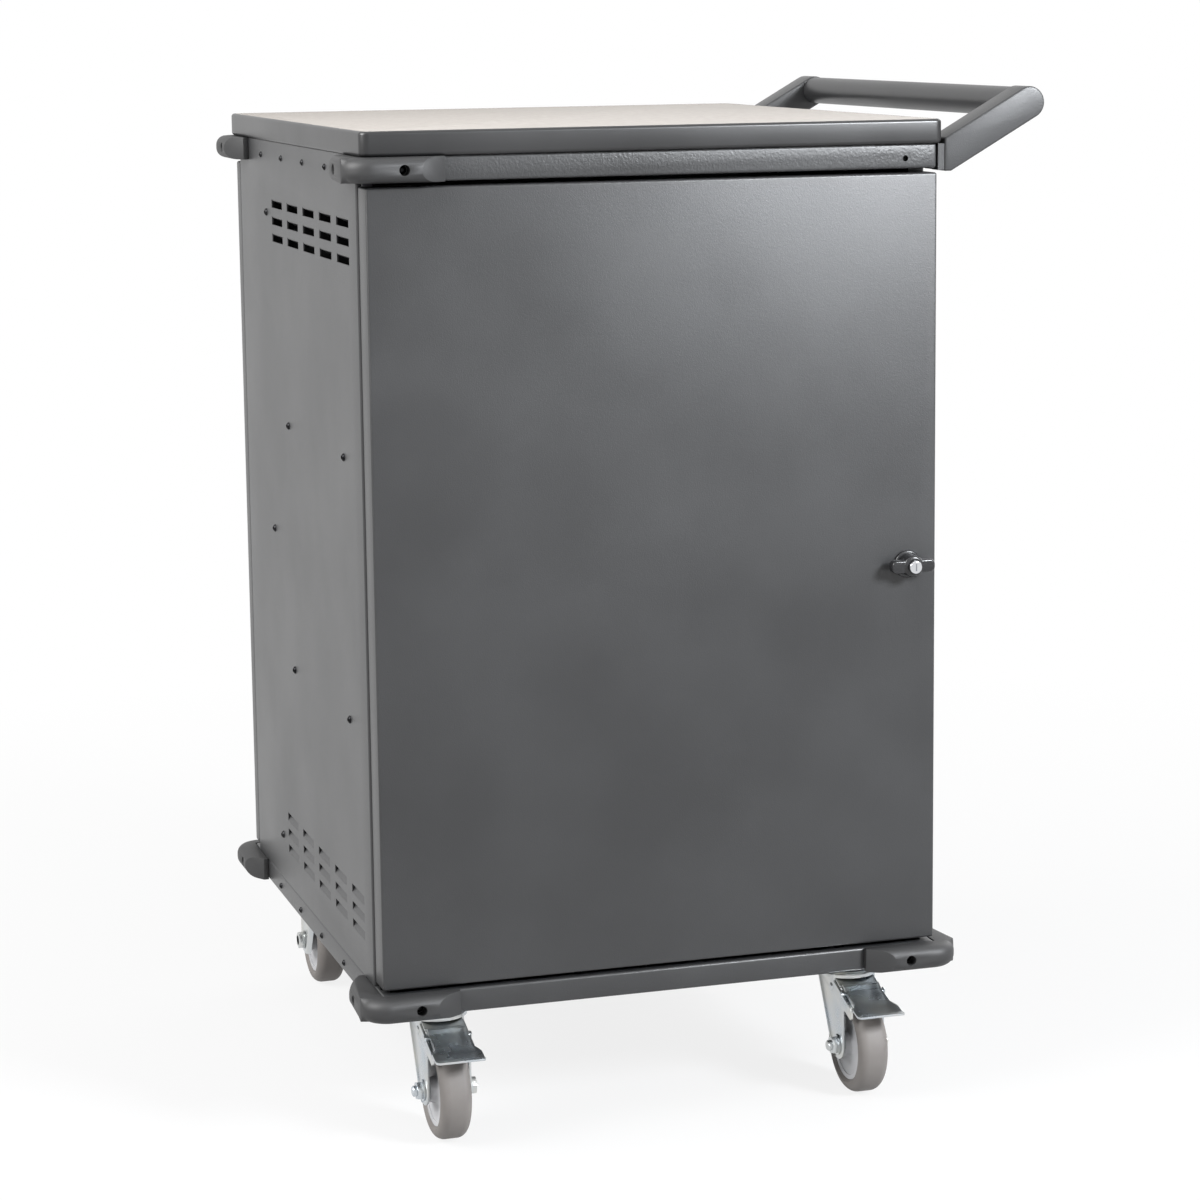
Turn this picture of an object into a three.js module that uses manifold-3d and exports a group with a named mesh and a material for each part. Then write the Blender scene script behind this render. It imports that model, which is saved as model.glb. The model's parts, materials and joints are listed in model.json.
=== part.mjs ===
// Laptop charging cart: a folded steel cabinet with louvred sides, a front and a rear door on
// pivot pins, three tiers of upright slots, a rear bay for the power strips, a push handle,
// rubber corner bumpers and four swivel casters, the front pair with brakes.
// Millimetres, +Z up, the front door faces -Y and the handle is on the +X side.

import * as THREE from "three";
import { mergeVertices } from "three/addons/utils/BufferGeometryUtils.js";
import Module from "manifold-3d";

const wasm = await Module();
wasm.setup();

// Cabinet
const CABINET_WIDTH = 580;
const CABINET_DEPTH = 630;
const CABINET_HEIGHT = 836;
const CASTER_HEIGHT = 137;
const TRAY_SHEET = 2;
const TRAY_HEIGHT = 24;
const TRAY_LIP = 15;
const PANEL_SHEET = 1.5;
const PANEL_FLANGE = 17;
const SEAT_GAP = 0.3;
const CUT_MARGIN = 1;
const BAND_HOLE_RADIUS = 3;
const BAND_HOLE_INSET = 35;
const BAND_HOLE_RISE = 10;

// Louvres pressed inward through the sheet
const LOUVRE_LENGTH = 53;
const LOUVRE_HEIGHT = 9;
const LOUVRE_TAB = 9;
const LOUVRE_ANGLE = 45;
const LOUVRE_COLUMNS = 5;
const LOUVRE_ROWS = 3;
const LOUVRE_COLUMN_PITCH = 78;
const LOUVRE_ROW_PITCH = 18;
const LOUVRE_FRONT_INSET = 61;
const LOUVRE_END_INSET = 55;

// Doors
const FRONT_DOOR_THICKNESS = 32.5;
const REAR_DOOR_THICKNESS = 22;
const DOOR_SIDE_INSET = 1;
const DOOR_END_GAP = 4.5;
const DOOR_BACK_GAP = 3.5;
const DOOR_LIP = 13;
const PIVOT_SIDE_INSET = 8;
const PIVOT_BACK_INSET = 9;
const PIVOT_RADIUS = 3.5;
const PIVOT_COLLAR_RADIUS = 6;
const PIVOT_HEAD_RADIUS = 4.6;
const PIVOT_HEAD_HEIGHT = 3;
const PIVOT_REACH = 10;
const PIN_CLEARANCE = 0.3;

// Locks
const LOCK_SIDE_INSET = 32;
const LOCK_FLANGE_RADIUS = 14;
const LOCK_FLANGE_HEIGHT = 4;
const LOCK_BARREL_RADIUS = 9;
const LOCK_BARREL_LENGTH = 19;
const LOCK_SHAFT_RADIUS = 5;
const KNOB_HUB_RADIUS = 11;
const KNOB_HUB_HEIGHT = 16;
const KNOB_WING_LENGTH = 46;
const KNOB_WING_WIDTH = 13;
const KNOB_WING_HEIGHT = 11;
const KNOB_EDGE = 1;
const KEY_PLUG_RADIUS = 6.5;
const KEY_PLUG_DEPTH = 6;
const KEY_PLUG_STAND = 5;
const KEY_SLOT_LENGTH = 8;
const KEY_SLOT_WIDTH = 2;
const KEY_SLOT_DEPTH = 3;
const REAR_PLUG_STAND = 1;
const CAM_SHEET = 2.5;
const CAM_WIDTH = 16;
const CAM_REACH = 25;
const CAM_BACK_GAP = 1;

// Inside
const TIER_COUNT = 3;
const TIER_TOP_ROOM = 47;
const SHELF_WALL = 25;
const SHELF_FRONT_LIP = 12;
const SHELF_FRONT_INSET = 9;
const PARTITION_FRONT_INSET = 417;
const PARTITION_FLANGE = 20;
const CABLE_SLOT_LENGTH = 360;
const CABLE_SLOT_HEIGHT = 36;
const CABLE_SLOT_CORNER = 17;
const CABLE_SLOT_DROP = 58;
const SLOTS_PER_TIER = 8;
const DIVIDER_PITCH = 71;
const DIVIDER_SHEET = 2;
const DIVIDER_HEIGHT = 170;
const DIVIDER_END_INSET = 12;
const DIVIDER_FRONT_RADIUS = 60;
const RACK_RAIL_WIDTH = 24;
const RACK_RAIL_INSET = 70;

// Power in the rear bay
const STRIP_WIDTH = 44;
const STRIP_DEPTH = 38;
const STRIP_CHAMFER = 6;
const STRIP_SIDE_INSET = 58;
const STRIP_END_INSET = 60;
const OUTLET_PITCH = 54;
const OUTLET_WIDTH = 30;
const OUTLET_LENGTH = 38;
const OUTLET_STAND = 2;
const INLET_BACK_INSET = 75;
const INLET_RISE = 70;
const INLET_WIDTH = 34;
const INLET_HEIGHT = 68;
const INLET_RIM = 3;
const INLET_FLANGE = 3;
const INLET_DEPTH = 30;
const SOCKET_WIDTH = 25;
const SOCKET_HEIGHT = 20;
const SOCKET_DEPTH = 16;
const SOCKET_DROP = 15;
const SWITCH_WIDTH = 15;
const SWITCH_HEIGHT = 17;
const SWITCH_RISE = 14;
const SWITCH_DEPTH = 15;
const SWITCH_WINDOW_GAP = 1.5;
const SWITCH_PIVOT_DEPTH = 7;
const SWITCH_DISH = 1.4;
const SWITCH_TILT = 6;

// Worktop
const WORKTOP_THICKNESS = 24;
const WORKTOP_OVERHANG = 4;
const WORKTOP_CORNER = 9;
const EDGE_THICKNESS = 3.7;
const EDGE_ROUND = 3;
const EDGE_ROUND_STEPS = 2;

// Bumpers
const BUMPER_LEG = 77;
const BUMPER_STAND = 22;
const BUMPER_HEIGHT = 24;
const BUMPER_ROUND = 10;
const BUMPER_ROUND_STEPS = 2;
const BUMPER_BEND_STEPS = 4;
const BUMPER_CORNER = 28;
const BUMPER_TAPER = 26;
const BUMPER_END = 6;
const BUMPER_SCREW_INSET = 34;
const BUMPER_SCREW_RADIUS = 5.5;
const BUMPER_SCREW_DEPTH = 13;

// Push handle
const HANDLE_REACH = 98;
const HANDLE_RISE = 14;
const HANDLE_TUBE_RADIUS = 15;
const ARM_END_RADIUS = 16;
const ARM_THICKNESS = 36;
const ARM_EDGE = 1.5;
const ARM_FOOT_HEIGHT = 32.5;
const ARM_FOOT_TOP = 5;
const FOOT_PLATE = 6.5;

// Casters
const CASTER_SIDE_INSET = 70;
const CASTER_END_INSET = 67;
const CASTER_TRAIL = 33;
const CASTER_PLATE_LENGTH = 95;
const CASTER_PLATE_WIDTH = 68;
const CASTER_PLATE_SHEET = 3;
const CASTER_PLATE_CORNER = 8;
const CASTER_HOLE_RADIUS = 4.5;
const CASTER_HOLE_INSET = 11;
const PRESSED_EDGE = 3;
const RACE_RADIUS = 28;
const RACE_HEIGHT = 9.5;
const CROWN_RADIUS = 31;
const CROWN_HEIGHT = 6;
const KINGPIN_RADIUS = 6;
const KINGPIN_HEAD_RADIUS = 10;
const KINGPIN_HEAD_HEIGHT = 5;
const KINGPIN_HEAD_EDGE = 2;
const FORK_SHEET = 3;
const FORK_GAP = 40;
const FORK_TOP_FRONT = 22;
const FORK_TOP_REAR = 21;
const FORK_BOSS_RADIUS = 15;
const FORK_CHEEK_FRONT = 70;
const FORK_CHEEK_TOP = 99;
const FORK_CHEEK_FOOT = 86;
const FORK_ARCH_RADIUS = 6;
const FORK_ARCH_TOP = 91;
const APRON_REACH = 34;
const APRON_DROP = 5;
const WHEEL_RADIUS = 50;
const TREAD_WIDTH = 32;
const TREAD_ROUND = 9;
const TYRE_DEPTH = 13;
const TYRE_BEAD_INSET = 2;
const HUB_WIDTH = 38;
const HUB_RADIUS = 12;
const HUB_WEB = 20;
const RIM_DEPTH = 5;
const RIM_WIDTH = 26;
const AXLE_RADIUS = 5.5;
const AXLE_HEX_RADIUS = 9.5;
const AXLE_HEX_HEIGHT = 7;
const AXLE_STUB = 4;
const PEDAL_SHEET = 2.5;
const PEDAL_TIP_WIDTH = 50;
const PEDAL_TIP_REACH = 102;
const PEDAL_TIP_RISE = 99;
const PEDAL_LIP = 8;
const PEDAL_LIP_RISE = 1;
const PEDAL_FLARE = 20;
const PEDAL_ROOT_REACH = 36;
const PEDAL_ROOT_RISE = 113;
const PEDAL_CHEEK_LENGTH = 32;
const PEDAL_CHEEK_DROP = 8;
const PEDAL_PIVOT_REACH = 44;
const PEDAL_PIVOT_RADIUS = 2.5;
const PEDAL_PIVOT_DROP = 7;

// Facets of the round shapes
const ARC_STEPS = 3;
const ROUND_END_STEPS = 6;
const PLATE_CORNER_STEPS = 1;
const PIN_SIDES = 8;
const LOCK_SIDES = 12;
const RACE_SIDES = 14;
const TUBE_SIDES = 20;
const HEX_SIDES = 6;
const WHEEL_SIDES = 16;

// Levels and faces that several pieces share
const SIDE = CABINET_WIDTH / 2;
const FRONT = -CABINET_DEPTH / 2;
const REAR = CABINET_DEPTH / 2;
const BASE_BOTTOM = CASTER_HEIGHT;
const BASE_TOP = BASE_BOTTOM + TRAY_HEIGHT;
const FRAME_TOP = BASE_BOTTOM + CABINET_HEIGHT;
const FRAME_BOTTOM = FRAME_TOP - TRAY_HEIGHT;
const DOOR_BOTTOM = BASE_TOP + DOOR_END_GAP;
const DOOR_TOP = FRAME_BOTTOM - DOOR_END_GAP;
const DOOR_MIDDLE = (DOOR_BOTTOM + DOOR_TOP) / 2;
const DOOR_SIDE = SIDE - DOOR_SIDE_INSET;
const PANEL_FRONT = FRONT + FRONT_DOOR_THICKNESS + DOOR_BACK_GAP;
const PANEL_REAR = REAR - REAR_DOOR_THICKNESS - DOOR_BACK_GAP;
const PANEL_BOTTOM = BASE_TOP + SEAT_GAP;
const PANEL_TOP = FRAME_TOP - SEAT_GAP;
const INSIDE = SIDE - PANEL_SHEET - SEAT_GAP;
const FLOOR = BASE_BOTTOM + TRAY_SHEET;
const PARTITION = PANEL_FRONT + PARTITION_FRONT_INSET;
const WORKTOP_BOTTOM = FRAME_TOP + SEAT_GAP;
const WORKTOP_TOP = FRAME_TOP + WORKTOP_THICKNESS;
const PIVOT_X = PIVOT_SIDE_INSET - DOOR_SIDE;
const LOCK_X = SIDE - LOCK_SIDE_INSET;

// Finishes
const POWDER_COAT = { color: 0x2c2d2f, roughness: 0.6, metalness: 0.2 };
const LAMINATE = { color: 0xd8d1c6, roughness: 0.5, metalness: 0 };
const BLACK_EDGE = { color: 0x2a2a2b, roughness: 0.5, metalness: 0 };
const BUMPER_RUBBER = { color: 0x3b3c3e, roughness: 0.8, metalness: 0 };
const BLACK_PLASTIC = { color: 0x17181a, roughness: 0.45, metalness: 0 };
const ZINC = { color: 0xb4bac0, roughness: 0.35, metalness: 1 };
const CHROME = { color: 0xdfe2e5, roughness: 0.12, metalness: 1 };
const GREY_TYRE = { color: 0x918d88, roughness: 0.75, metalness: 0 };
const PALE_HUB = { color: 0xcfcdc8, roughness: 0.5, metalness: 0 };

const X = new THREE.Vector3(1, 0, 0);
const Y = new THREE.Vector3(0, 1, 0);
const Z = new THREE.Vector3(0, 0, 1);
const OUTLINE_PLANES = {
  xy: new THREE.Matrix4(),
  yz: new THREE.Matrix4().makeBasis(Y, Z, X),
  xz: new THREE.Matrix4().makeBasis(X, Z, Y.clone().negate()),
};
const TURNING_AXES = {
  x: new THREE.Matrix4().makeRotationZ(-Math.PI / 2),
  y: new THREE.Matrix4(),
  z: new THREE.Matrix4().makeRotationX(Math.PI / 2),
};

// Turns a closed geometry into a solid, leaving out the flat triangles at a revolve's poles.
function solid(geometry) {
  const bare = new THREE.BufferGeometry();
  bare.setAttribute("position", geometry.attributes.position);
  bare.setIndex(geometry.index);
  const merged = mergeVertices(bare, 1e-3);
  const points = merged.attributes.position;
  const corner = [0, 1, 2].map(() => new THREE.Vector3());
  const triangles = [];
  let volume = 0;
  for (let i = 0; i < merged.index.count; i += 3) {
    const three = [0, 1, 2].map((k) => merged.index.getX(i + k));
    if (new Set(three).size < 3) continue;
    three.forEach((index, k) => corner[k].fromBufferAttribute(points, index));
    volume += corner[0].dot(corner[1].clone().cross(corner[2]));
    triangles.push(three);
  }
  const outward = volume < 0 ? triangles.map(([a, b, c]) => [a, c, b]) : triangles;
  const triVerts = new Uint32Array(outward.flat());
  const vertProperties = new Float32Array(points.array);
  return new wasm.Manifold(new wasm.Mesh({ numProp: 3, vertProperties, triVerts }));
}

// A block between two values on each axis.
function block([x0, x1], [y0, y1], [z0, z1]) {
  const geometry = new THREE.BoxGeometry(x1 - x0, y1 - y0, z1 - z0);
  return solid(geometry.translate((x0 + x1) / 2, (y0 + y1) / 2, (z0 + z1) / 2));
}

// An outline drawn in one plane and pulled along the third axis, with its rims rounded off.
function extruded(shape, plane, from, to, round = 0, steps = 1, arcSteps = ARC_STEPS) {
  const geometry = new THREE.ExtrudeGeometry(shape, {
    depth: to - from - 2 * round,
    bevelEnabled: round > 0,
    bevelThickness: round,
    bevelSize: round,
    bevelOffset: -round,
    bevelSegments: steps,
    curveSegments: arcSteps,
  });
  geometry.translate(0, 0, (plane === "xz" ? -to : from) + round);
  return solid(geometry.applyMatrix4(OUTLINE_PLANES[plane]));
}

// A profile of [radius, height] points turned about an axis through the given point.
function turned(profile, axis, at, sides) {
  const points = profile.map(([radius, height]) => new THREE.Vector2(radius, height));
  const geometry = new THREE.LatheGeometry(points, sides, Math.PI / sides);
  geometry.applyMatrix4(TURNING_AXES[axis]);
  return solid(geometry.translate(...at));
}

// A round bar between two heights on the axis through the given point.
function rod(radius, from, to, axis, at, sides) {
  return turned([[0, from], [radius, from], [radius, to], [0, to]], axis, at, sides);
}

function polygon(points) {
  return new THREE.Shape(points.map(([u, v]) => new THREE.Vector2(u, v)));
}

function roundedRectangle([u0, u1], [v0, v1], radius) {
  const shape = new THREE.Shape();
  shape.absarc(u1 - radius, v0 + radius, radius, -Math.PI / 2, 0);
  shape.absarc(u1 - radius, v1 - radius, radius, 0, Math.PI / 2);
  shape.absarc(u0 + radius, v1 - radius, radius, Math.PI / 2, Math.PI);
  shape.absarc(u0 + radius, v0 + radius, radius, Math.PI, 1.5 * Math.PI);
  return shape;
}

// A sheet folded into a pan: one face, four walls and a lip turned in round the open side.
function pan(range, axis, towards, sheet, lip) {
  const inset = (by) => Object.fromEntries(
    Object.entries(range).map(([name, [low, high]]) => [name, [low + by, high - by]]),
  );
  const hollow = inset(sheet);
  const mouth = inset(lip);
  const [low, high] = range[axis];
  mouth[axis] = towards > 0 ? [high - 2 * sheet, high + sheet] : [low - sheet, low + 2 * sheet];
  return block(range.x, range.y, range.z)
    .subtract(block(hollow.x, hollow.y, hollow.z))
    .subtract(block(mouth.x, mouth.y, mouth.z));
}

const cart = new THREE.Group();

function piece(group, name, finish, body) {
  const { vertProperties, triVerts } = body.getMesh();
  const geometry = new THREE.BufferGeometry();
  geometry.setAttribute("position", new THREE.BufferAttribute(vertProperties, 3));
  geometry.setIndex(new THREE.BufferAttribute(triVerts, 1));
  const material = new THREE.MeshStandardMaterial({ ...finish, flatShading: true });
  const mesh = new THREE.Mesh(geometry, material);
  mesh.name = name;
  group.add(mesh);
  return mesh;
}

// Base tray and top frame: the same pan, one facing up and one facing down, with a hole in the
// lip for each door pivot and one more hole in the front of the frame.
const PIVOT_PLACES = {
  front: PANEL_FRONT - DOOR_BACK_GAP - PIVOT_BACK_INSET,
  rear: PANEL_REAR + DOOR_BACK_GAP + PIVOT_BACK_INSET,
};

function pivotHole(y, from, to) {
  return rod(PIVOT_RADIUS + PIN_CLEARANCE, from, to, "z", [PIVOT_X, y, 0], PIN_SIDES);
}

function tray(halfWidth, bottom, top, towards) {
  const range = { x: [-halfWidth, halfWidth], y: [FRONT, REAR], z: [bottom, top] };
  const lip = towards > 0
    ? [top - 2 * TRAY_SHEET, top + CUT_MARGIN]
    : [bottom - CUT_MARGIN, bottom + 2 * TRAY_SHEET];
  return Object.values(PIVOT_PLACES).reduce(
    (body, y) => body.subtract(pivotHole(y, ...lip)),
    pan(range, "z", towards, TRAY_SHEET, TRAY_LIP),
  );
}

piece(cart, "base_tray", POWDER_COAT, tray(SIDE, BASE_BOTTOM, BASE_TOP, 1));
const bandHole = rod(
  BAND_HOLE_RADIUS, FRONT - CUT_MARGIN, FRONT + 2 * TRAY_SHEET, "y",
  [SIDE - BAND_HOLE_INSET, 0, FRAME_BOTTOM + BAND_HOLE_RISE], PIN_SIDES,
);
const topFrame = tray(INSIDE, FRAME_BOTTOM, FRAME_TOP, -1).subtract(bandHole);
piece(cart, "top_frame", POWDER_COAT, topFrame);

// Louvres: each is lanced on three sides and its tab pressed inward. The upper block hangs from
// its top edge and the lower block stands on its bottom edge, so both shed dust outward.
const LOUVRE_BITE = 0.2;

function louvreRows() {
  const middle = (LOUVRE_ROWS - 1) / 2;
  const rows = Array.from({ length: LOUVRE_ROWS }, (_, i) => (i - middle) * LOUVRE_ROW_PITCH);
  return [
    ...rows.map((offset) => ({ z: DOOR_TOP - LOUVRE_END_INSET + offset, lean: -1 })),
    ...rows.map((offset) => ({ z: DOOR_BOTTOM + LOUVRE_END_INSET + offset, lean: 1 })),
  ];
}

function louvred(body, face, inward, columns) {
  const angle = THREE.MathUtils.degToRad(LOUVRE_ANGLE);
  const half = LOUVRE_LENGTH / 2;
  const [sine, cosine] = [Math.sin(angle) * inward, Math.cos(angle)];
  for (const { z, lean } of louvreRows()) {
    const edge = z - (lean * LOUVRE_HEIGHT) / 2;
    const start = [face + inward * LOUVRE_BITE, edge - lean * LOUVRE_BITE];
    const fold = [
      start[0] + PANEL_SHEET * cosine * inward,
      start[1] - lean * PANEL_SHEET * Math.abs(sine),
    ];
    const run = [LOUVRE_TAB * sine, lean * LOUVRE_TAB * cosine];
    const tab = polygon([
      start,
      [start[0] + run[0], start[1] + run[1]],
      [fold[0] + run[0], fold[1] + run[1]],
      fold,
    ]);
    const window = polygon([
      [face - inward * CUT_MARGIN, z - LOUVRE_HEIGHT / 2],
      [face + inward * (PANEL_SHEET + CUT_MARGIN), z - LOUVRE_HEIGHT / 2],
      [face + inward * (PANEL_SHEET + CUT_MARGIN), z + LOUVRE_HEIGHT / 2],
      [face - inward * CUT_MARGIN, z + LOUVRE_HEIGHT / 2],
    ]);
    for (const middle of columns) {
      body = body.subtract(extruded(window, "xz", middle - half, middle + half));
      body = body.add(extruded(tab, "xz", middle - half, middle + half));
    }
  }
  return body;
}

function columnsFrom(first) {
  return Array.from({ length: LOUVRE_COLUMNS }, (_, i) => first + i * LOUVRE_COLUMN_PITCH);
}

// Side panels: a sheet with its front and rear edges turned in, seated on the base tray's lip and
// covering the top frame's wall, so the turned edges stop below that frame.
const span = (a, b) => [Math.min(a, b), Math.max(a, b)];
const INLET_Y = PANEL_REAR - INLET_BACK_INSET;
const INLET_Z = BASE_TOP + INLET_RISE;
const INLET_BODY_Y = INLET_WIDTH / 2 - INLET_RIM;
const INLET_BODY_Z = INLET_HEIGHT / 2 - INLET_RIM;

function sidePanel(side) {
  const outer = side * SIDE;
  const inner = side * (SIDE - PANEL_SHEET);
  const flange = side * (SIDE - PANEL_FLANGE);
  const outline = polygon([
    [outer, PANEL_FRONT],
    [flange, PANEL_FRONT],
    [flange, PANEL_FRONT + PANEL_SHEET],
    [inner, PANEL_FRONT + PANEL_SHEET],
    [inner, PANEL_REAR - PANEL_SHEET],
    [flange, PANEL_REAR - PANEL_SHEET],
    [flange, PANEL_REAR],
    [outer, PANEL_REAR],
  ]);
  const frameNotch = block(
    span(inner, flange - side * CUT_MARGIN),
    [PANEL_FRONT - CUT_MARGIN, PANEL_REAR + CUT_MARGIN],
    [FRAME_BOTTOM - SEAT_GAP, PANEL_TOP + CUT_MARGIN],
  );
  const folded = extruded(outline, "xy", PANEL_BOTTOM, PANEL_TOP).subtract(frameNotch);
  return louvred(folded, outer, -side, columnsFrom(PANEL_FRONT + LOUVRE_FRONT_INSET));
}

const inletWindow = block(
  [SIDE - PANEL_SHEET - CUT_MARGIN, SIDE + CUT_MARGIN],
  [INLET_Y - INLET_BODY_Y - SEAT_GAP, INLET_Y + INLET_BODY_Y + SEAT_GAP],
  [INLET_Z - INLET_BODY_Z - SEAT_GAP, INLET_Z + INLET_BODY_Z + SEAT_GAP],
);
piece(cart, "side_panel_left", POWDER_COAT, sidePanel(-1));
piece(cart, "side_panel_right", POWDER_COAT, sidePanel(1).subtract(inletWindow));

// Tier floors: the base tray's floor and two shelves at one pitch.
const TIER_PITCH = (CABINET_HEIGHT - TIER_TOP_ROOM) / TIER_COUNT;
const tierFloor = (tier) => FLOOR + tier * TIER_PITCH;
const SHELF_FRONT = PANEL_FRONT + SHELF_FRONT_INSET;
const SHELF_REAR = PARTITION - SEAT_GAP;

function shelf(tier) {
  const bottom = tierFloor(tier) - TRAY_SHEET;
  const top = bottom + SHELF_WALL;
  const inner = INSIDE - TRAY_SHEET;
  return block([-INSIDE, INSIDE], [SHELF_FRONT, SHELF_REAR], [bottom, top])
    .subtract(block(
      [-inner, inner],
      [SHELF_FRONT + TRAY_SHEET, SHELF_REAR - TRAY_SHEET],
      [bottom + TRAY_SHEET, top + CUT_MARGIN],
    ))
    .subtract(block(
      [-inner, inner],
      [SHELF_FRONT - CUT_MARGIN, SHELF_FRONT + 2 * TRAY_SHEET],
      [bottom + SHELF_FRONT_LIP, top + CUT_MARGIN],
    ));
}

piece(cart, "shelf_lower", POWDER_COAT, shelf(1));
piece(cart, "shelf_upper", POWDER_COAT, shelf(2));

// Rear partition: carries the power strips and has one cable slot for each tier.
function partition() {
  const back = PARTITION + PANEL_SHEET;
  const flange = PARTITION + PARTITION_FLANGE;
  const inner = INSIDE - PANEL_SHEET;
  const outline = polygon([
    [-INSIDE, PARTITION],
    [INSIDE, PARTITION],
    [INSIDE, flange],
    [inner, flange],
    [inner, back],
    [-inner, back],
    [-inner, flange],
    [-INSIDE, flange],
  ]);
  let body = extruded(outline, "xy", BASE_TOP + SEAT_GAP, FRAME_BOTTOM - SEAT_GAP);
  for (let tier = 0; tier < TIER_COUNT; tier += 1) {
    const middle = tierFloor(tier + 1) - CABLE_SLOT_DROP;
    const slot = roundedRectangle(
      [-CABLE_SLOT_LENGTH / 2, CABLE_SLOT_LENGTH / 2],
      [middle - CABLE_SLOT_HEIGHT / 2, middle + CABLE_SLOT_HEIGHT / 2],
      CABLE_SLOT_CORNER,
    );
    body = body.subtract(extruded(slot, "xz", PARTITION - CUT_MARGIN, back + CUT_MARGIN));
  }
  return body;
}

piece(cart, "rear_partition", POWDER_COAT, partition());

// Divider racks: upright plates with a swept front corner, joined by two flat rails.
function dividerRack(tier) {
  const bottom = tierFloor(tier) + SEAT_GAP;
  const top = bottom + DIVIDER_HEIGHT;
  const front = SHELF_FRONT + TRAY_SHEET + DIVIDER_END_INSET;
  const rear = SHELF_REAR - TRAY_SHEET - DIVIDER_END_INSET;
  const outline = new THREE.Shape();
  outline.moveTo(front, bottom);
  outline.lineTo(rear, bottom);
  outline.lineTo(rear, top);
  outline.absarc(front + DIVIDER_FRONT_RADIUS, top - DIVIDER_FRONT_RADIUS, DIVIDER_FRONT_RADIUS,
    Math.PI / 2, Math.PI);
  const railEnd = INSIDE - TRAY_SHEET - SEAT_GAP;
  const rail = (from) => block(
    [-railEnd, railEnd],
    [from, from + RACK_RAIL_WIDTH],
    [bottom, bottom + DIVIDER_SHEET],
  );
  let body = rail(front + RACK_RAIL_INSET).add(rail(rear - RACK_RAIL_INSET - RACK_RAIL_WIDTH));
  for (let i = 1; i < SLOTS_PER_TIER; i += 1) {
    const left = (i - SLOTS_PER_TIER / 2) * DIVIDER_PITCH - DIVIDER_SHEET / 2;
    body = body.add(extruded(outline, "yz", left, left + DIVIDER_SHEET));
  }
  return body;
}

["bottom", "middle", "top"].forEach((level, tier) => {
  piece(cart, `divider_rack_${level}`, POWDER_COAT, dividerRack(tier));
});

// Outlet strips: a chamfered channel on the back of the partition with a row of outlet faces.
function outletStrip(side) {
  const middle = side * (SIDE - STRIP_SIDE_INSET);
  const half = STRIP_WIDTH / 2;
  const seat = PARTITION + PANEL_SHEET + SEAT_GAP;
  const face = seat + STRIP_DEPTH;
  const outline = polygon([
    [middle - half, seat],
    [middle + half, seat],
    [middle + half, face - STRIP_CHAMFER],
    [middle + half - STRIP_CHAMFER, face],
    [middle - half + STRIP_CHAMFER, face],
    [middle - half, face - STRIP_CHAMFER],
  ]);
  const bottom = DOOR_BOTTOM + STRIP_END_INSET;
  const top = DOOR_TOP - STRIP_END_INSET;
  const count = Math.floor((top - bottom) / OUTLET_PITCH);
  let body = extruded(outline, "xy", bottom, top);
  for (let i = 0; i < count; i += 1) {
    const height = DOOR_MIDDLE + (i - (count - 1) / 2) * OUTLET_PITCH;
    body = body.add(block(
      [middle - OUTLET_WIDTH / 2, middle + OUTLET_WIDTH / 2],
      [face - OUTLET_STAND, face + OUTLET_STAND],
      [height - OUTLET_LENGTH / 2, height + OUTLET_LENGTH / 2],
    ));
  }
  return body;
}

piece(cart, "outlet_strip_left", BLACK_PLASTIC, outletStrip(-1));
piece(cart, "outlet_strip_right", BLACK_PLASTIC, outletStrip(1));

// Power inlet: a flanged housing through the right panel with a plug socket and a rocker window.
function powerInlet() {
  const flange = SIDE + SEAT_GAP;
  const face = flange + INLET_FLANGE;
  const socketZ = INLET_Z - SOCKET_DROP;
  const switchZ = INLET_Z + SWITCH_RISE;
  const windowHalf = SWITCH_HEIGHT / 2 + SWITCH_WINDOW_GAP;
  const around = (middle, half) => [middle - half, middle + half];
  return block([flange, face], around(INLET_Y, INLET_WIDTH / 2), around(INLET_Z, INLET_HEIGHT / 2))
    .add(block(
      [face - INLET_DEPTH, face - INLET_FLANGE / 2],
      around(INLET_Y, INLET_BODY_Y),
      around(INLET_Z, INLET_BODY_Z),
    ))
    .subtract(block(
      [face - SOCKET_DEPTH, face + CUT_MARGIN],
      around(INLET_Y, SOCKET_WIDTH / 2),
      around(socketZ, SOCKET_HEIGHT / 2),
    ))
    .subtract(block(
      [face - SWITCH_DEPTH - SWITCH_WINDOW_GAP, face + CUT_MARGIN],
      around(INLET_Y, SWITCH_WIDTH / 2 + SEAT_GAP),
      around(switchZ, windowHalf),
    ));
}

function powerSwitch() {
  const half = SWITCH_HEIGHT / 2;
  const outline = polygon([
    [SWITCH_PIVOT_DEPTH - SWITCH_DEPTH, -half / 2],
    [0, -half],
    [SWITCH_PIVOT_DEPTH, -half],
    [SWITCH_PIVOT_DEPTH - SWITCH_DISH, 0],
    [SWITCH_PIVOT_DEPTH, half],
    [0, half],
    [SWITCH_PIVOT_DEPTH - SWITCH_DEPTH, half / 2],
  ]);
  return extruded(outline, "xz", -SWITCH_WIDTH / 2, SWITCH_WIDTH / 2);
}

piece(cart, "power_inlet", BLACK_PLASTIC, powerInlet());
const rocker = piece(cart, "power_switch", BLACK_PLASTIC, powerSwitch());
rocker.position.set(SIDE + INLET_FLANGE - SWITCH_PIVOT_DEPTH, INLET_Y, INLET_Z + SWITCH_RISE);
rocker.rotation.y = THREE.MathUtils.degToRad(SWITCH_TILT);

// Worktop: a laminated board inside a rounded edge moulding.
function worktopOutline(inset) {
  const halfWidth = SIDE + WORKTOP_OVERHANG - inset;
  const halfDepth = REAR + WORKTOP_OVERHANG - inset;
  return roundedRectangle([-halfWidth, halfWidth], [-halfDepth, halfDepth], WORKTOP_CORNER - inset);
}

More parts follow.
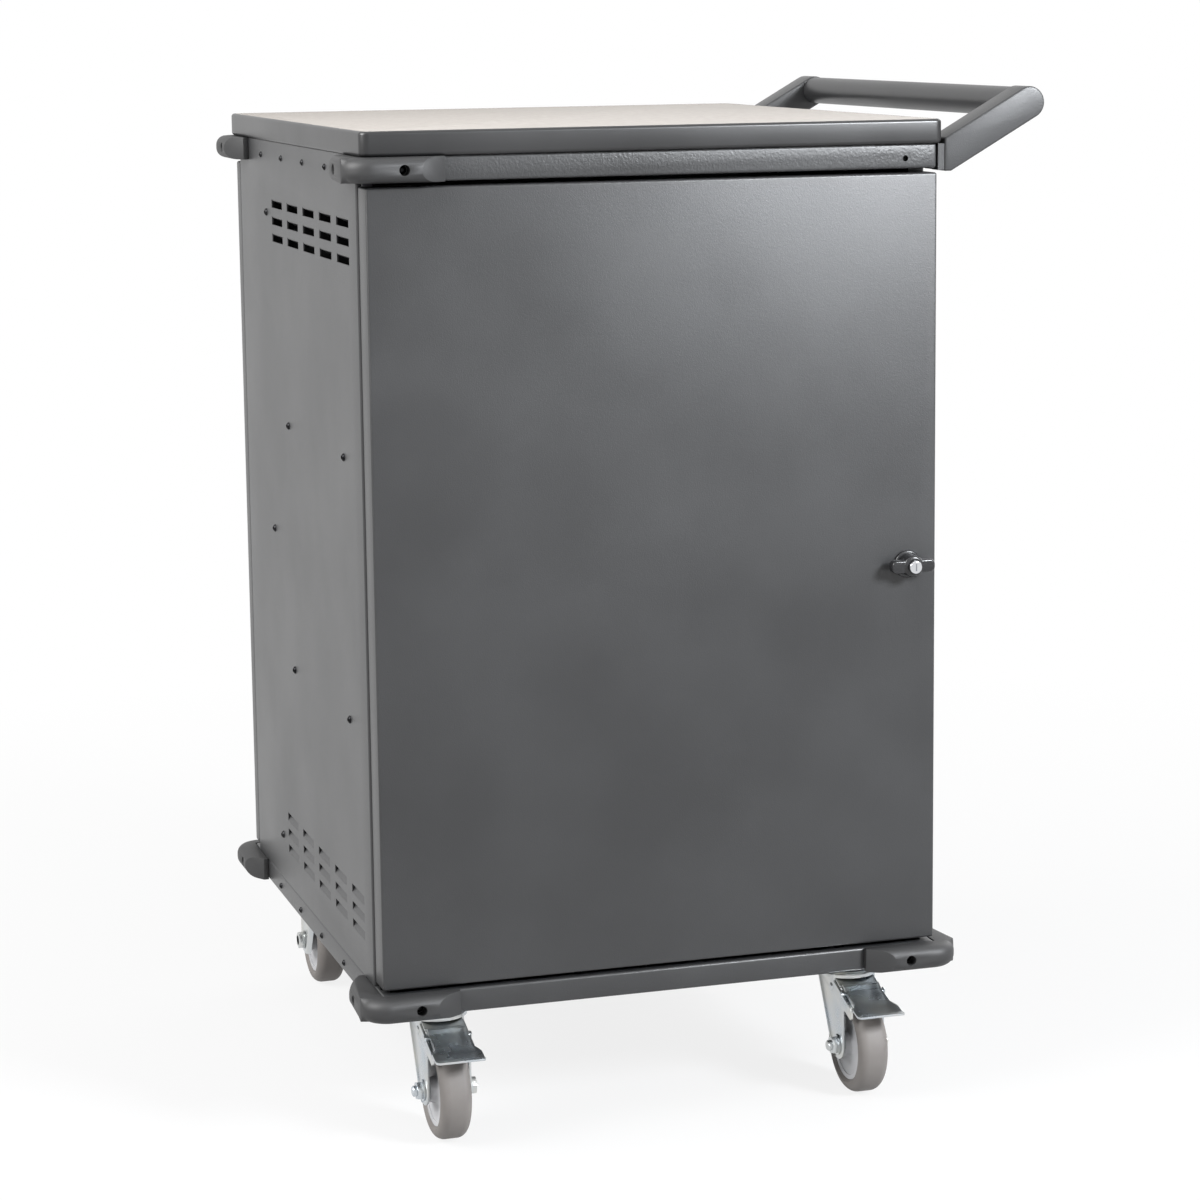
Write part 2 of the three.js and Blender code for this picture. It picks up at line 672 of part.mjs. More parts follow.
const WORKTOP_Z = [WORKTOP_BOTTOM, WORKTOP_TOP];
const worktopCut = [WORKTOP_BOTTOM - CUT_MARGIN, WORKTOP_TOP + CUT_MARGIN];
const worktopBoard = extruded(worktopOutline(EDGE_THICKNESS + SEAT_GAP), "xy", ...WORKTOP_Z);
const worktopEdge = extruded(worktopOutline(0), "xy", ...WORKTOP_Z, EDGE_ROUND, EDGE_ROUND_STEPS)
  .subtract(extruded(worktopOutline(EDGE_THICKNESS), "xy", ...worktopCut));
piece(cart, "worktop_board", LAMINATE, worktopBoard);
piece(cart, "worktop_edge", BLACK_EDGE, worktopEdge);

// Corner bumpers: a half-round moulding bent round the cabinet's corner, with its ends cut on a
// slant and a counterbored screw in each leg. Outline points are measured out from the corner.
function bumper(sideX, sideY, middle) {
  const place = ([u, v]) => [sideX * (SIDE + u), sideY * (REAR + v)];
  const far = -2 * BUMPER_LEG;
  const centre = BUMPER_STAND - BUMPER_CORNER;
  const bend = Array.from({ length: BUMPER_BEND_STEPS + 1 }, (_, i) => {
    const angle = ((1 - i / BUMPER_BEND_STEPS) * Math.PI) / 2;
    return [centre + BUMPER_CORNER * Math.cos(angle), centre + BUMPER_CORNER * Math.sin(angle)];
  });
  const outer = [[far, BUMPER_STAND], ...bend, [BUMPER_STAND, far], [far, far]];
  const [bottom, top] = [middle - BUMPER_HEIGHT / 2, middle + BUMPER_HEIGHT / 2];
  const cutZ = [bottom - CUT_MARGIN, top + CUT_MARGIN];
  const cabinet = block(
    span(sideX * (SIDE + SEAT_GAP), sideX * (SIDE + 2 * far)),
    span(sideY * (REAR + SEAT_GAP), sideY * (REAR + 2 * far)),
    cutZ,
  );
  const taper = [
    [BUMPER_TAPER - BUMPER_LEG, BUMPER_STAND],
    [-BUMPER_LEG, BUMPER_END],
    [-BUMPER_LEG, -CUT_MARGIN],
    [2 * far, -CUT_MARGIN],
    [2 * far, 2 * BUMPER_STAND],
    [BUMPER_TAPER - BUMPER_LEG, 2 * BUMPER_STAND],
  ];
  const [screwX, screwY] = place([-BUMPER_SCREW_INSET, -BUMPER_SCREW_INSET]);
  const bore = [BUMPER_STAND - BUMPER_SCREW_DEPTH, BUMPER_STAND + CUT_MARGIN];
  const boreX = span(...bore.map((out) => sideX * (SIDE + out)));
  const boreY = span(...bore.map((out) => sideY * (REAR + out)));
  return extruded(polygon(outer.map(place)), "xy", bottom, top, BUMPER_ROUND, BUMPER_ROUND_STEPS)
    .subtract(cabinet)
    .subtract(extruded(polygon(taper.map(place)), "xy", ...cutZ))
    .subtract(extruded(polygon(taper.map(([u, v]) => place([v, u]))), "xy", ...cutZ))
    .subtract(rod(BUMPER_SCREW_RADIUS, ...boreY, "y", [screwX, 0, middle], PIN_SIDES))
    .subtract(rod(BUMPER_SCREW_RADIUS, ...boreX, "x", [0, screwY, middle], PIN_SIDES));
}

const BASE_MIDDLE = (BASE_BOTTOM + BASE_TOP) / 2;
const FRAME_MIDDLE = (FRAME_BOTTOM + FRAME_TOP) / 2;
for (const [end, sideY] of [["front", -1], ["rear", 1]]) {
  piece(cart, `bumper_base_${end}_left`, BUMPER_RUBBER, bumper(-1, sideY, BASE_MIDDLE));
  piece(cart, `bumper_base_${end}_right`, BUMPER_RUBBER, bumper(1, sideY, BASE_MIDDLE));
  piece(cart, `bumper_top_${end}_left`, BUMPER_RUBBER, bumper(-1, sideY, FRAME_MIDDLE));
}

// Push handle: two flat arms rising from foot plates on the right side, and the tube between them.
const TUBE_X = SIDE + HANDLE_REACH;
const TUBE_Z = WORKTOP_TOP + HANDLE_RISE;

function handleArm(from, to) {
  const footX = SIDE + SEAT_GAP + FOOT_PLATE;
  const footTop = FRAME_TOP + ARM_FOOT_TOP;
  const footBottom = footTop - ARM_FOOT_HEIGHT;
  const run = Math.hypot(TUBE_X - footX, TUBE_Z - footTop);
  const slope = Math.atan2(TUBE_Z - footTop, TUBE_X - footX) + Math.asin(ARM_END_RADIUS / run);
  const lowTangentX = TUBE_X + ARM_END_RADIUS * Math.sin(slope);
  const lowTangentZ = TUBE_Z - ARM_END_RADIUS * Math.cos(slope);
  const outline = new THREE.Shape();
  outline.moveTo(footX, footBottom);
  outline.lineTo(lowTangentX - (lowTangentZ - footBottom) / Math.tan(slope), footBottom);
  outline.absarc(TUBE_X, TUBE_Z, ARM_END_RADIUS, slope - Math.PI / 2, slope + Math.PI / 2);
  outline.lineTo(footX, footTop);
  const plate = block(
    [SIDE + SEAT_GAP, footX + ARM_EDGE],
    [from + ARM_EDGE, to - ARM_EDGE],
    [footBottom + ARM_EDGE, FRAME_TOP - SEAT_GAP],
  );
  return extruded(outline, "xz", from, to, ARM_EDGE, 1, ROUND_END_STEPS).add(plate);
}

piece(cart, "handle_arm_front", POWDER_COAT, handleArm(FRONT, FRONT + ARM_THICKNESS));
piece(cart, "handle_arm_rear", POWDER_COAT, handleArm(REAR - ARM_THICKNESS, REAR));
const tubeEnd = REAR - ARM_THICKNESS - SEAT_GAP;
const handleTube = rod(HANDLE_TUBE_RADIUS, -tubeEnd, tubeEnd, "y", [TUBE_X, 0, TUBE_Z], TUBE_SIDES);
piece(cart, "handle_tube", POWDER_COAT, handleTube);

// A hole on the lock's axis through whatever lies between two faces.
function lockHole(radius, [from, to]) {
  const ends = [from - CUT_MARGIN, to + CUT_MARGIN];
  return rod(radius + PIN_CLEARANCE, ...ends, "y", [LOCK_X, 0, DOOR_MIDDLE], LOCK_SIDES);
}

// Doors: folded pans that hang between the trays on a pin at each left corner.
function door(y, towards, pivotY) {
  const range = { x: [-DOOR_SIDE, DOOR_SIDE], y, z: [DOOR_BOTTOM, DOOR_TOP] };
  const hole = lockHole(LOCK_BARREL_RADIUS, y);
  return pan(range, "y", towards, PANEL_SHEET, DOOR_LIP)
    .subtract(pivotHole(pivotY, DOOR_BOTTOM - CUT_MARGIN, DOOR_BOTTOM + 2 * PANEL_SHEET))
    .subtract(pivotHole(pivotY, DOOR_TOP - 2 * PANEL_SHEET, DOOR_TOP + CUT_MARGIN))
    .subtract(hole);
}

// A pivot pin: headed inside the tray, with a collar that carries the door off the tray's lip.
function pivotPin(y, level, towards) {
  const seat = TRAY_SHEET + SEAT_GAP;
  const profile = [
    [0, -seat - PIVOT_HEAD_HEIGHT],
    [PIVOT_HEAD_RADIUS, -seat - PIVOT_HEAD_HEIGHT],
    [PIVOT_HEAD_RADIUS, -seat],
    [PIVOT_RADIUS, -seat],
    [PIVOT_RADIUS, SEAT_GAP],
    [PIVOT_COLLAR_RADIUS, SEAT_GAP],
    [PIVOT_COLLAR_RADIUS, DOOR_END_GAP - SEAT_GAP],
    [PIVOT_RADIUS, DOOR_END_GAP - SEAT_GAP],
    [PIVOT_RADIUS, DOOR_END_GAP + PANEL_SHEET + PIVOT_REACH],
    [0, DOOR_END_GAP + PANEL_SHEET + PIVOT_REACH],
  ];
  const points = profile.map(([radius, height]) => [radius, towards * height]);
  return turned(points, "z", [PIVOT_X, y, level], PIN_SIDES);
}

// Lock pieces are turned about the lock's axis, with heights measured out from the door's face.
function lockTurned(end, profile) {
  const outward = end === "front" ? -1 : 1;
  const face = end === "front" ? FRONT : REAR;
  const points = profile.map(([radius, height]) => [radius, outward * height]);
  return turned(points, "y", [LOCK_X, face, DOOR_MIDDLE], LOCK_SIDES);
}

function lockBody(end, boreRadius) {
  return lockTurned(end, [
    [boreRadius, -LOCK_BARREL_LENGTH],
    [LOCK_BARREL_RADIUS, -LOCK_BARREL_LENGTH],
    [LOCK_BARREL_RADIUS, SEAT_GAP],
    [LOCK_FLANGE_RADIUS, SEAT_GAP],
    [LOCK_FLANGE_RADIUS, LOCK_FLANGE_HEIGHT / 2],
    [LOCK_FLANGE_RADIUS - LOCK_FLANGE_HEIGHT / 2, LOCK_FLANGE_HEIGHT],
    [boreRadius, LOCK_FLANGE_HEIGHT],
    [boreRadius, -LOCK_BARREL_LENGTH],
  ]);
}

function keySlot(end, height) {
  const outward = end === "front" ? -1 : 1;
  const face = (end === "front" ? FRONT : REAR) + outward * height;
  return block(
    [LOCK_X - KEY_SLOT_WIDTH / 2, LOCK_X + KEY_SLOT_WIDTH / 2],
    span(face - outward * KEY_SLOT_DEPTH, face + outward * CUT_MARGIN),
    [DOOR_MIDDLE - KEY_SLOT_LENGTH / 2, DOOR_MIDDLE + KEY_SLOT_LENGTH / 2],
  );
}

// The cam hangs down when open and turns behind the panel's flange to lock.
const CAM_INSET = PANEL_SHEET + CAM_BACK_GAP;
const CAM_PLACES = {
  front: [PANEL_FRONT + CAM_INSET, PANEL_FRONT + CAM_INSET + CAM_SHEET],
  rear: [PANEL_REAR - CAM_INSET - CAM_SHEET, PANEL_REAR - CAM_INSET],
};
const SHAFT_ENDS = {
  front: CAM_PLACES.front[1] - FRONT + SEAT_GAP,
  rear: REAR - CAM_PLACES.rear[0] + SEAT_GAP,
};

function lockCam(end) {
  const half = CAM_WIDTH / 2;
  const outline = new THREE.Shape();
  outline.absarc(LOCK_X, DOOR_MIDDLE, half, 0, Math.PI);
  outline.absarc(LOCK_X, DOOR_MIDDLE - CAM_REACH + half, half, Math.PI, 2 * Math.PI);
  return extruded(outline, "xz", ...CAM_PLACES[end], 0, 1, ROUND_END_STEPS)
    .subtract(lockHole(LOCK_SHAFT_RADIUS, CAM_PLACES[end]));
}

const KNOB_BASE = LOCK_FLANGE_HEIGHT + SEAT_GAP;
const KNOB_TOP = KNOB_BASE + KNOB_HUB_HEIGHT;
const PLUG_SEAT = KNOB_TOP - KEY_PLUG_DEPTH;
const PLUG_FACE = KNOB_TOP + KEY_PLUG_STAND;

function frontKnob() {
  const hub = lockTurned("front", [
    [0, -SHAFT_ENDS.front],
    [LOCK_SHAFT_RADIUS, -SHAFT_ENDS.front],
    [LOCK_SHAFT_RADIUS, KNOB_BASE],
    [KNOB_HUB_RADIUS, KNOB_BASE],
    [KNOB_HUB_RADIUS, KNOB_TOP - 2 * KNOB_EDGE],
    [KNOB_HUB_RADIUS - KNOB_EDGE, KNOB_TOP],
    [0, KNOB_TOP],
  ]);
  const wing = roundedRectangle(
    [LOCK_X - KNOB_WING_LENGTH / 2, LOCK_X + KNOB_WING_LENGTH / 2],
    [DOOR_MIDDLE - KNOB_WING_WIDTH / 2, DOOR_MIDDLE + KNOB_WING_WIDTH / 2],
    KNOB_WING_WIDTH / 2 - KNOB_EDGE,
  );
  const wingTop = FRONT - KNOB_TOP + KNOB_EDGE;
  const bore = lockTurned("front", [
    [0, PLUG_SEAT],
    [KEY_PLUG_RADIUS + PIN_CLEARANCE, PLUG_SEAT],
    [KEY_PLUG_RADIUS + PIN_CLEARANCE, KNOB_TOP + CUT_MARGIN],
    [0, KNOB_TOP + CUT_MARGIN],
  ]);
  return hub.add(extruded(wing, "xz", wingTop, wingTop + KNOB_WING_HEIGHT, KNOB_EDGE)).subtract(bore);
}

function frontPlug() {
  const barrel = [[0, PLUG_SEAT + SEAT_GAP], [KEY_PLUG_RADIUS, PLUG_SEAT + SEAT_GAP]];
  const nose = [
    [KEY_PLUG_RADIUS, PLUG_FACE - KNOB_EDGE],
    [KEY_PLUG_RADIUS - KNOB_EDGE, PLUG_FACE],
    [0, PLUG_FACE],
  ];
  return lockTurned("front", [...barrel, ...nose]).subtract(keySlot("front", PLUG_FACE));
}

function rearPlug() {
  const face = LOCK_FLANGE_HEIGHT + REAR_PLUG_STAND;
  return lockTurned("rear", [
    [0, -SHAFT_ENDS.rear],
    [LOCK_SHAFT_RADIUS, -SHAFT_ENDS.rear],
    [LOCK_SHAFT_RADIUS, -LOCK_BARREL_LENGTH],
    [KEY_PLUG_RADIUS, -LOCK_BARREL_LENGTH],
    [KEY_PLUG_RADIUS, face],
    [0, face],
  ]).subtract(keySlot("rear", face));
}

const FRONT_DOOR_Y = [FRONT, FRONT + FRONT_DOOR_THICKNESS];
const REAR_DOOR_Y = [REAR - REAR_DOOR_THICKNESS, REAR];
piece(cart, "front_door", POWDER_COAT, door(FRONT_DOOR_Y, 1, PIVOT_PLACES.front));
piece(cart, "rear_door", POWDER_COAT, door(REAR_DOOR_Y, -1, PIVOT_PLACES.rear));
for (const [end, y] of Object.entries(PIVOT_PLACES)) {
  piece(cart, `${end}_pivot_pin_bottom`, ZINC, pivotPin(y, BASE_TOP, 1));
  piece(cart, `${end}_pivot_pin_top`, ZINC, pivotPin(y, FRAME_BOTTOM, -1));
}
piece(cart, "front_lock_body", BLACK_PLASTIC, lockBody("front", LOCK_SHAFT_RADIUS + PIN_CLEARANCE));
piece(cart, "front_lock_knob", BLACK_PLASTIC, frontKnob());
piece(cart, "front_lock_plug", CHROME, frontPlug());
piece(cart, "front_lock_cam", ZINC, lockCam("front"));
piece(cart, "rear_lock_body", CHROME, lockBody("rear", KEY_PLUG_RADIUS + PIN_CLEARANCE));
piece(cart, "rear_lock_plug", CHROME, rearPlug());
piece(cart, "rear_lock_cam", ZINC, lockCam("rear"));

// Casters, each built about its swivel axis with the wheel trailing towards -Y.
const PLATE_TOP = CASTER_HEIGHT - SEAT_GAP;
const PLATE_BOTTOM = PLATE_TOP - CASTER_PLATE_SHEET;
const RACE_BOTTOM = PLATE_BOTTOM - RACE_HEIGHT;
const CROWN_TOP = RACE_BOTTOM - SEAT_GAP;
const CROWN_BOTTOM = CROWN_TOP - CROWN_HEIGHT;
const PIN_HEAD_TOP = CROWN_BOTTOM - SEAT_GAP;
const AXLE_AT = [0, -CASTER_TRAIL, WHEEL_RADIUS];

// Top plate, ball race and kingpin, riveted into one; the kingpin's head holds the fork up.
function casterPlate() {
  const [halfX, halfY] = [CASTER_PLATE_WIDTH / 2, CASTER_PLATE_LENGTH / 2];
  const outline = roundedRectangle([-halfX, halfX], [-halfY, halfY], CASTER_PLATE_CORNER);
  const race = turned([
    [0, PLATE_BOTTOM + CUT_MARGIN],
    [RACE_RADIUS, PLATE_BOTTOM + CUT_MARGIN],
    [RACE_RADIUS, RACE_BOTTOM + PRESSED_EDGE],
    [RACE_RADIUS - PRESSED_EDGE, RACE_BOTTOM],
    [KINGPIN_RADIUS, RACE_BOTTOM],
    [KINGPIN_RADIUS, PIN_HEAD_TOP],
    [KINGPIN_HEAD_RADIUS, PIN_HEAD_TOP],
    [KINGPIN_HEAD_RADIUS - KINGPIN_HEAD_EDGE, PIN_HEAD_TOP - KINGPIN_HEAD_HEIGHT],
    [0, PIN_HEAD_TOP - KINGPIN_HEAD_HEIGHT],
  ], "z", [0, 0, 0], RACE_SIDES);
  const holeZ = [PLATE_BOTTOM - CUT_MARGIN, PLATE_TOP + CUT_MARGIN];
  let body = extruded(outline, "xy", PLATE_BOTTOM, PLATE_TOP, 0, 1, PLATE_CORNER_STEPS).add(race);
  for (const x of [-halfX + CASTER_HOLE_INSET, halfX - CASTER_HOLE_INSET]) {
    for (const y of [-halfY + CASTER_HOLE_INSET, halfY - CASTER_HOLE_INSET]) {
      body = body.subtract(rod(CASTER_HOLE_RADIUS, ...holeZ, "z", [x, y, 0], HEX_SIDES));
    }
  }
  return body;
}

// Pressed fork: a domed crown with a sloped apron, and two legs whose cheeks reach forward over the
// wheel to carry the brake and arch back to the axle's boss.
function casterFork(braked) {
  const bore = KINGPIN_RADIUS + PIN_CLEARANCE;
  const crown = turned([
    [bore, CROWN_BOTTOM],
    [CROWN_RADIUS, CROWN_BOTTOM],
    [CROWN_RADIUS, CROWN_TOP - PRESSED_EDGE],
    [CROWN_RADIUS - PRESSED_EDGE, CROWN_TOP],
    [bore, CROWN_TOP],
    [bore, CROWN_BOTTOM],
  ], "z", [0, 0, 0], RACE_SIDES);
  const [, axleY, axleZ] = AXLE_AT;
  const shoulder = CROWN_BOTTOM - FORK_SHEET;
  const run = Math.hypot(FORK_TOP_REAR - axleY, shoulder - axleZ);
  const slope = Math.atan2(shoulder - axleZ, FORK_TOP_REAR - axleY);
  const rearTangent = slope - Math.acos(FORK_BOSS_RADIUS / run);
  const archY = axleY - FORK_BOSS_RADIUS - FORK_ARCH_RADIUS;
  const archZ = FORK_ARCH_TOP - FORK_ARCH_RADIUS;
  const outline = new THREE.Shape();
  outline.moveTo(FORK_TOP_REAR, CROWN_TOP - FORK_SHEET);
  outline.lineTo(FORK_TOP_REAR, shoulder);
  outline.absarc(axleY, axleZ, FORK_BOSS_RADIUS, rearTangent, -Math.PI, true);
  outline.absarc(archY, archZ, FORK_ARCH_RADIUS, 0, Math.PI / 2);
  outline.lineTo(-FORK_CHEEK_FRONT, FORK_CHEEK_FOOT);
  outline.lineTo(-FORK_CHEEK_FRONT, FORK_CHEEK_TOP);
  outline.lineTo(-FORK_TOP_FRONT, shoulder);
  outline.lineTo(-FORK_TOP_FRONT, CROWN_TOP - FORK_SHEET);
  const apron = polygon([
    [-KINGPIN_HEAD_RADIUS - PRESSED_EDGE, CROWN_BOTTOM + CUT_MARGIN],
    [-FORK_TOP_FRONT, CROWN_BOTTOM],
    [-APRON_REACH, CROWN_BOTTOM - APRON_DROP],
    [-APRON_REACH, CROWN_BOTTOM - APRON_DROP - FORK_SHEET],
    [-FORK_TOP_FRONT, shoulder],
  ]);
  const outside = FORK_GAP / 2 + FORK_SHEET;
  const through = [-outside - CUT_MARGIN, outside + CUT_MARGIN];
  const fork = crown
    .add(extruded(apron, "yz", -FORK_GAP / 2 - CUT_MARGIN, FORK_GAP / 2 + CUT_MARGIN))
    .add(extruded(outline, "yz", FORK_GAP / 2, outside, 0, 1, ROUND_END_STEPS))
    .add(extruded(outline, "yz", -outside, -FORK_GAP / 2, 0, 1, ROUND_END_STEPS))
    .subtract(rod(AXLE_RADIUS + PIN_CLEARANCE, ...through, "x", AXLE_AT, PIN_SIDES));
  const pedalHole = rod(PEDAL_PIVOT_RADIUS + PIN_CLEARANCE, ...through, "x", PEDAL_PIVOT_AT, PIN_SIDES);
  return braked ? fork.subtract(pedalHole) : fork;
}

function casterAxle() {
  const hexStart = FORK_GAP / 2 + FORK_SHEET + SEAT_GAP;
  const hexEnd = hexStart + AXLE_HEX_HEIGHT;
  return rod(AXLE_RADIUS, -hexEnd - AXLE_STUB, hexEnd, "x", AXLE_AT, PIN_SIDES)
    .add(rod(AXLE_HEX_RADIUS, hexStart, hexEnd, "x", AXLE_AT, HEX_SIDES))
    .add(rod(AXLE_HEX_RADIUS, -hexEnd, -hexStart, "x", AXLE_AT, HEX_SIDES));
}

// Reflects half a profile across the wheel's middle plane and closes it.
function mirroredProfile(half) {
  const other = half.map(([radius, across]) => [radius, -across]).reverse();
  return [...half, ...other, half[0]];
}

const BEAD_RADIUS = WHEEL_RADIUS - TYRE_DEPTH;

function casterHub() {
  const rimInner = BEAD_RADIUS - RIM_DEPTH;
  return turned(mirroredProfile([
    [AXLE_RADIUS + PIN_CLEARANCE, HUB_WIDTH / 2],
    [HUB_RADIUS, HUB_WIDTH / 2],
    [HUB_RADIUS, HUB_WEB / 2],
    [rimInner, HUB_WEB / 2],
    [rimInner, RIM_WIDTH / 2],
    [BEAD_RADIUS - SEAT_GAP, RIM_WIDTH / 2],
  ]), "x", AXLE_AT, WHEEL_SIDES);
}

// The tyre's flats stand at the wheel's radius, with one of them on the floor.
function casterTyre() {
  const flats = 1 / Math.cos(Math.PI / WHEEL_SIDES);
  const shoulder = [0, 1, 2].map((step) => {
    const angle = (step * Math.PI) / 4;
    const radius = WHEEL_RADIUS - TREAD_ROUND * (1 - Math.cos(angle));
    return [radius * flats, TREAD_WIDTH / 2 - TREAD_ROUND * (1 - Math.sin(angle))];
  });
  const bead = [BEAD_RADIUS, TREAD_WIDTH / 2 - TYRE_BEAD_INSET];
  return turned(mirroredProfile([bead, ...shoulder.reverse()]), "x", AXLE_AT, WHEEL_SIDES);
}

// Brake pedal: a channel pinned between the fork legs, flaring into a toe plate past the wheel.
const PEDAL_PIVOT_AT = [0, -PEDAL_PIVOT_REACH, PEDAL_ROOT_RISE - PEDAL_PIVOT_DROP];

function brakePedal() {
  const lipStart = PEDAL_TIP_REACH - PEDAL_LIP;
  const fall = (PEDAL_ROOT_RISE - PEDAL_TIP_RISE + PEDAL_LIP_RISE) / (lipStart - PEDAL_ROOT_REACH);
  const surface = (reach) => PEDAL_ROOT_RISE - fall * (reach - PEDAL_ROOT_REACH);
  const top = [
    [-PEDAL_ROOT_REACH, PEDAL_ROOT_RISE],
    [-lipStart, surface(lipStart)],
    [-PEDAL_TIP_REACH, PEDAL_TIP_RISE],
  ];
  const under = top.map(([y, z]) => [y, z - PEDAL_SHEET]).reverse();
  const half = PEDAL_TIP_WIDTH / 2;
  const root = FORK_GAP / 2 - SEAT_GAP;
  const flareStart = PEDAL_TIP_REACH - PEDAL_FLARE;
  const flareEnd = flareStart - 2 * (half - root);
  const waist = (side) => polygon([
    [side * root, 0],
    [side * root, -flareEnd],
    [side * (half + CUT_MARGIN), -flareStart],
    [side * 2 * half, -flareStart],
    [side * 2 * half, 0],
  ]);
  const cheekEnd = PEDAL_ROOT_REACH + PEDAL_CHEEK_LENGTH;
  const cheek = polygon([
    [-PEDAL_ROOT_REACH, surface(PEDAL_ROOT_REACH) - PEDAL_SHEET / 2],
    [-PEDAL_ROOT_REACH, surface(PEDAL_ROOT_REACH) - PEDAL_CHEEK_DROP],
    [-cheekEnd, surface(cheekEnd) - PEDAL_CHEEK_DROP],
    [-cheekEnd, surface(cheekEnd) - PEDAL_SHEET / 2],
  ]);
  const [low, high] = [PEDAL_TIP_RISE - 2 * PEDAL_LIP, PEDAL_ROOT_RISE + CUT_MARGIN];
  let body = extruded(polygon([...top, ...under]), "yz", -half, half);
  for (const side of [-1, 1]) {
    body = body.subtract(extruded(waist(side), "xy", low, high));
    const inner = side * (root - PEDAL_SHEET);
    body = body.add(extruded(cheek, "yz", ...span(inner, side * root)));
    const pinEnds = span(inner, side * (FORK_GAP / 2 + FORK_SHEET));
    body = body.add(rod(PEDAL_PIVOT_RADIUS, ...pinEnds, "x", PEDAL_PIVOT_AT, PIN_SIDES));
  }
  return body;
}

for (const [end, sideY] of [["front", -1], ["rear", 1]]) {
  for (const [side, sideX] of [["left", -1], ["right", 1]]) {
    const caster = new THREE.Group();
    const braked = end === "front";
    const name = `caster_${end}_${side}`;
    caster.position.set(sideX * (SIDE - CASTER_SIDE_INSET), sideY * (REAR - CASTER_END_INSET), 0);
    caster.rotation.z = sideY > 0 ? Math.PI : 0;
    piece(caster, `${name}_plate`, ZINC, casterPlate());
    piece(caster, `${name}_fork`, ZINC, casterFork(braked));
    piece(caster, `${name}_axle`, ZINC, casterAxle());
    piece(caster, `${name}_hub`, PALE_HUB, casterHub());
    piece(caster, `${name}_tyre`, GREY_TYRE, casterTyre());
    if (braked) piece(caster, `${name}_pedal`, ZINC, brakePedal());
    cart.add(caster);
  }
}

// The origin is on the floor, in the middle of the cart's overall box.
const overall = new THREE.Box3().setFromObject(cart, true);
const middle = overall.getCenter(new THREE.Vector3());
cart.position.set(-middle.x, -middle.y, -overall.min.z);

export default cart;
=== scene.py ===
import json
import math

import bmesh
import bpy
from mathutils import Matrix, Quaternion, Vector


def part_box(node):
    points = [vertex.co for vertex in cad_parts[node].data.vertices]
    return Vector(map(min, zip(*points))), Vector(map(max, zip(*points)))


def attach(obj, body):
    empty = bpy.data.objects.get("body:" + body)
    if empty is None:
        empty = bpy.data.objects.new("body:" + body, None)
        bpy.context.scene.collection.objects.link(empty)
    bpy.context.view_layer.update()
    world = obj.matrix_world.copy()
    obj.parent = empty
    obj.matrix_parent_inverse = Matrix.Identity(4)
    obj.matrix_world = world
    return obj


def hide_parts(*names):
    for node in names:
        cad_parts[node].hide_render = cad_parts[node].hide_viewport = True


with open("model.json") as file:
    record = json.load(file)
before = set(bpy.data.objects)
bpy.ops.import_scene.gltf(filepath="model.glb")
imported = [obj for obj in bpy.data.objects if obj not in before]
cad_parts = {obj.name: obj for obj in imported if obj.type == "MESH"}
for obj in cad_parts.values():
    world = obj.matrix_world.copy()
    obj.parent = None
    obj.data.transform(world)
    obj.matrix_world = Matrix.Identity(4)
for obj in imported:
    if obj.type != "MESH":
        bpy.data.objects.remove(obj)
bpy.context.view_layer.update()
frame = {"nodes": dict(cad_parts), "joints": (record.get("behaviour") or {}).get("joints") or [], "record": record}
scene = bpy.context.scene
scene.view_settings.view_transform = "Standard"
joint_place = {joint["name"]: Vector(joint["pos_m"]) for joint in frame["joints"]}

# Camera
# It stands in front of the cart, to the left of the door and a little above the worktop, with a
# long lens. A small shift brings the casters into the picture.
CAMERA_PLACE = (-1.0296, -3.2956, 1.1076)
CAMERA_YAW = math.radians(17.122)
CAMERA_PITCH = math.radians(9.261)
CAMERA_ROLL = math.radians(-0.658)
CAMERA_LENS = 97.77
CAMERA_SENSOR = 36
CAMERA_SHIFT = -0.05

camera_lens = bpy.data.cameras.new("camera")
camera_lens.lens = CAMERA_LENS
camera_lens.sensor_width = CAMERA_SENSOR
camera_lens.shift_y = CAMERA_SHIFT
camera = bpy.data.objects.new("camera", camera_lens)
camera.location = CAMERA_PLACE
camera_look = Vector((
    math.sin(CAMERA_YAW) * math.cos(CAMERA_PITCH),
    math.cos(CAMERA_YAW) * math.cos(CAMERA_PITCH),
    -math.sin(CAMERA_PITCH),
))
camera.rotation_mode = "QUATERNION"
camera.rotation_quaternion = camera_look.to_track_quat("-Z", "Y") @ Quaternion((0, 0, 1), CAMERA_ROLL)
scene.collection.objects.link(camera)
scene.camera = camera

# Base tray and top frame
# Two shallow pans of 2 mm sheet steel, folded with a lip and welded at the corners. Both carry a
# charcoal powder coat, and the frame under the worktop has the coarser grain of the two.
TRAY_SHEET = 0.002
TRAY_LIP = 0.015
TRAY_FOLD = 0.0028
FOLD_SEGMENTS = 4
PIVOTS = [joint_place["front_door_swing"], joint_place["rear_door_swing"]]
PIVOT_HOLE_RADIUS = 0.0038
PIVOT_HOLE_DEPTH = 0.004
STAY_HOLE_RADIUS = 0.003
STAY_HOLE_INSET = 0.033
STAY_HOLE_RISE = 0.010
STAY_HOLE_ENDS = (-0.002, 0.004)
COAT_DARK = (0.022, 0.0223, 0.0231)
COAT_LIGHT = (0.027, 0.0274, 0.0283)
TONE_STOPS = (0.35, 0.65)
SHINE_STOPS = (0.3, 0.7)
BUMP_STRENGTH = 0.6
SMOOTH_ANGLE = math.radians(35)
WELD_REACH = 1e-6


def wired(tree, *wires):
    """Links sockets, each wire naming a node and its output, then a node and its input."""
    for source, output, target, entry in wires:
        tree.links.new(source.outputs[output], target.inputs[entry])


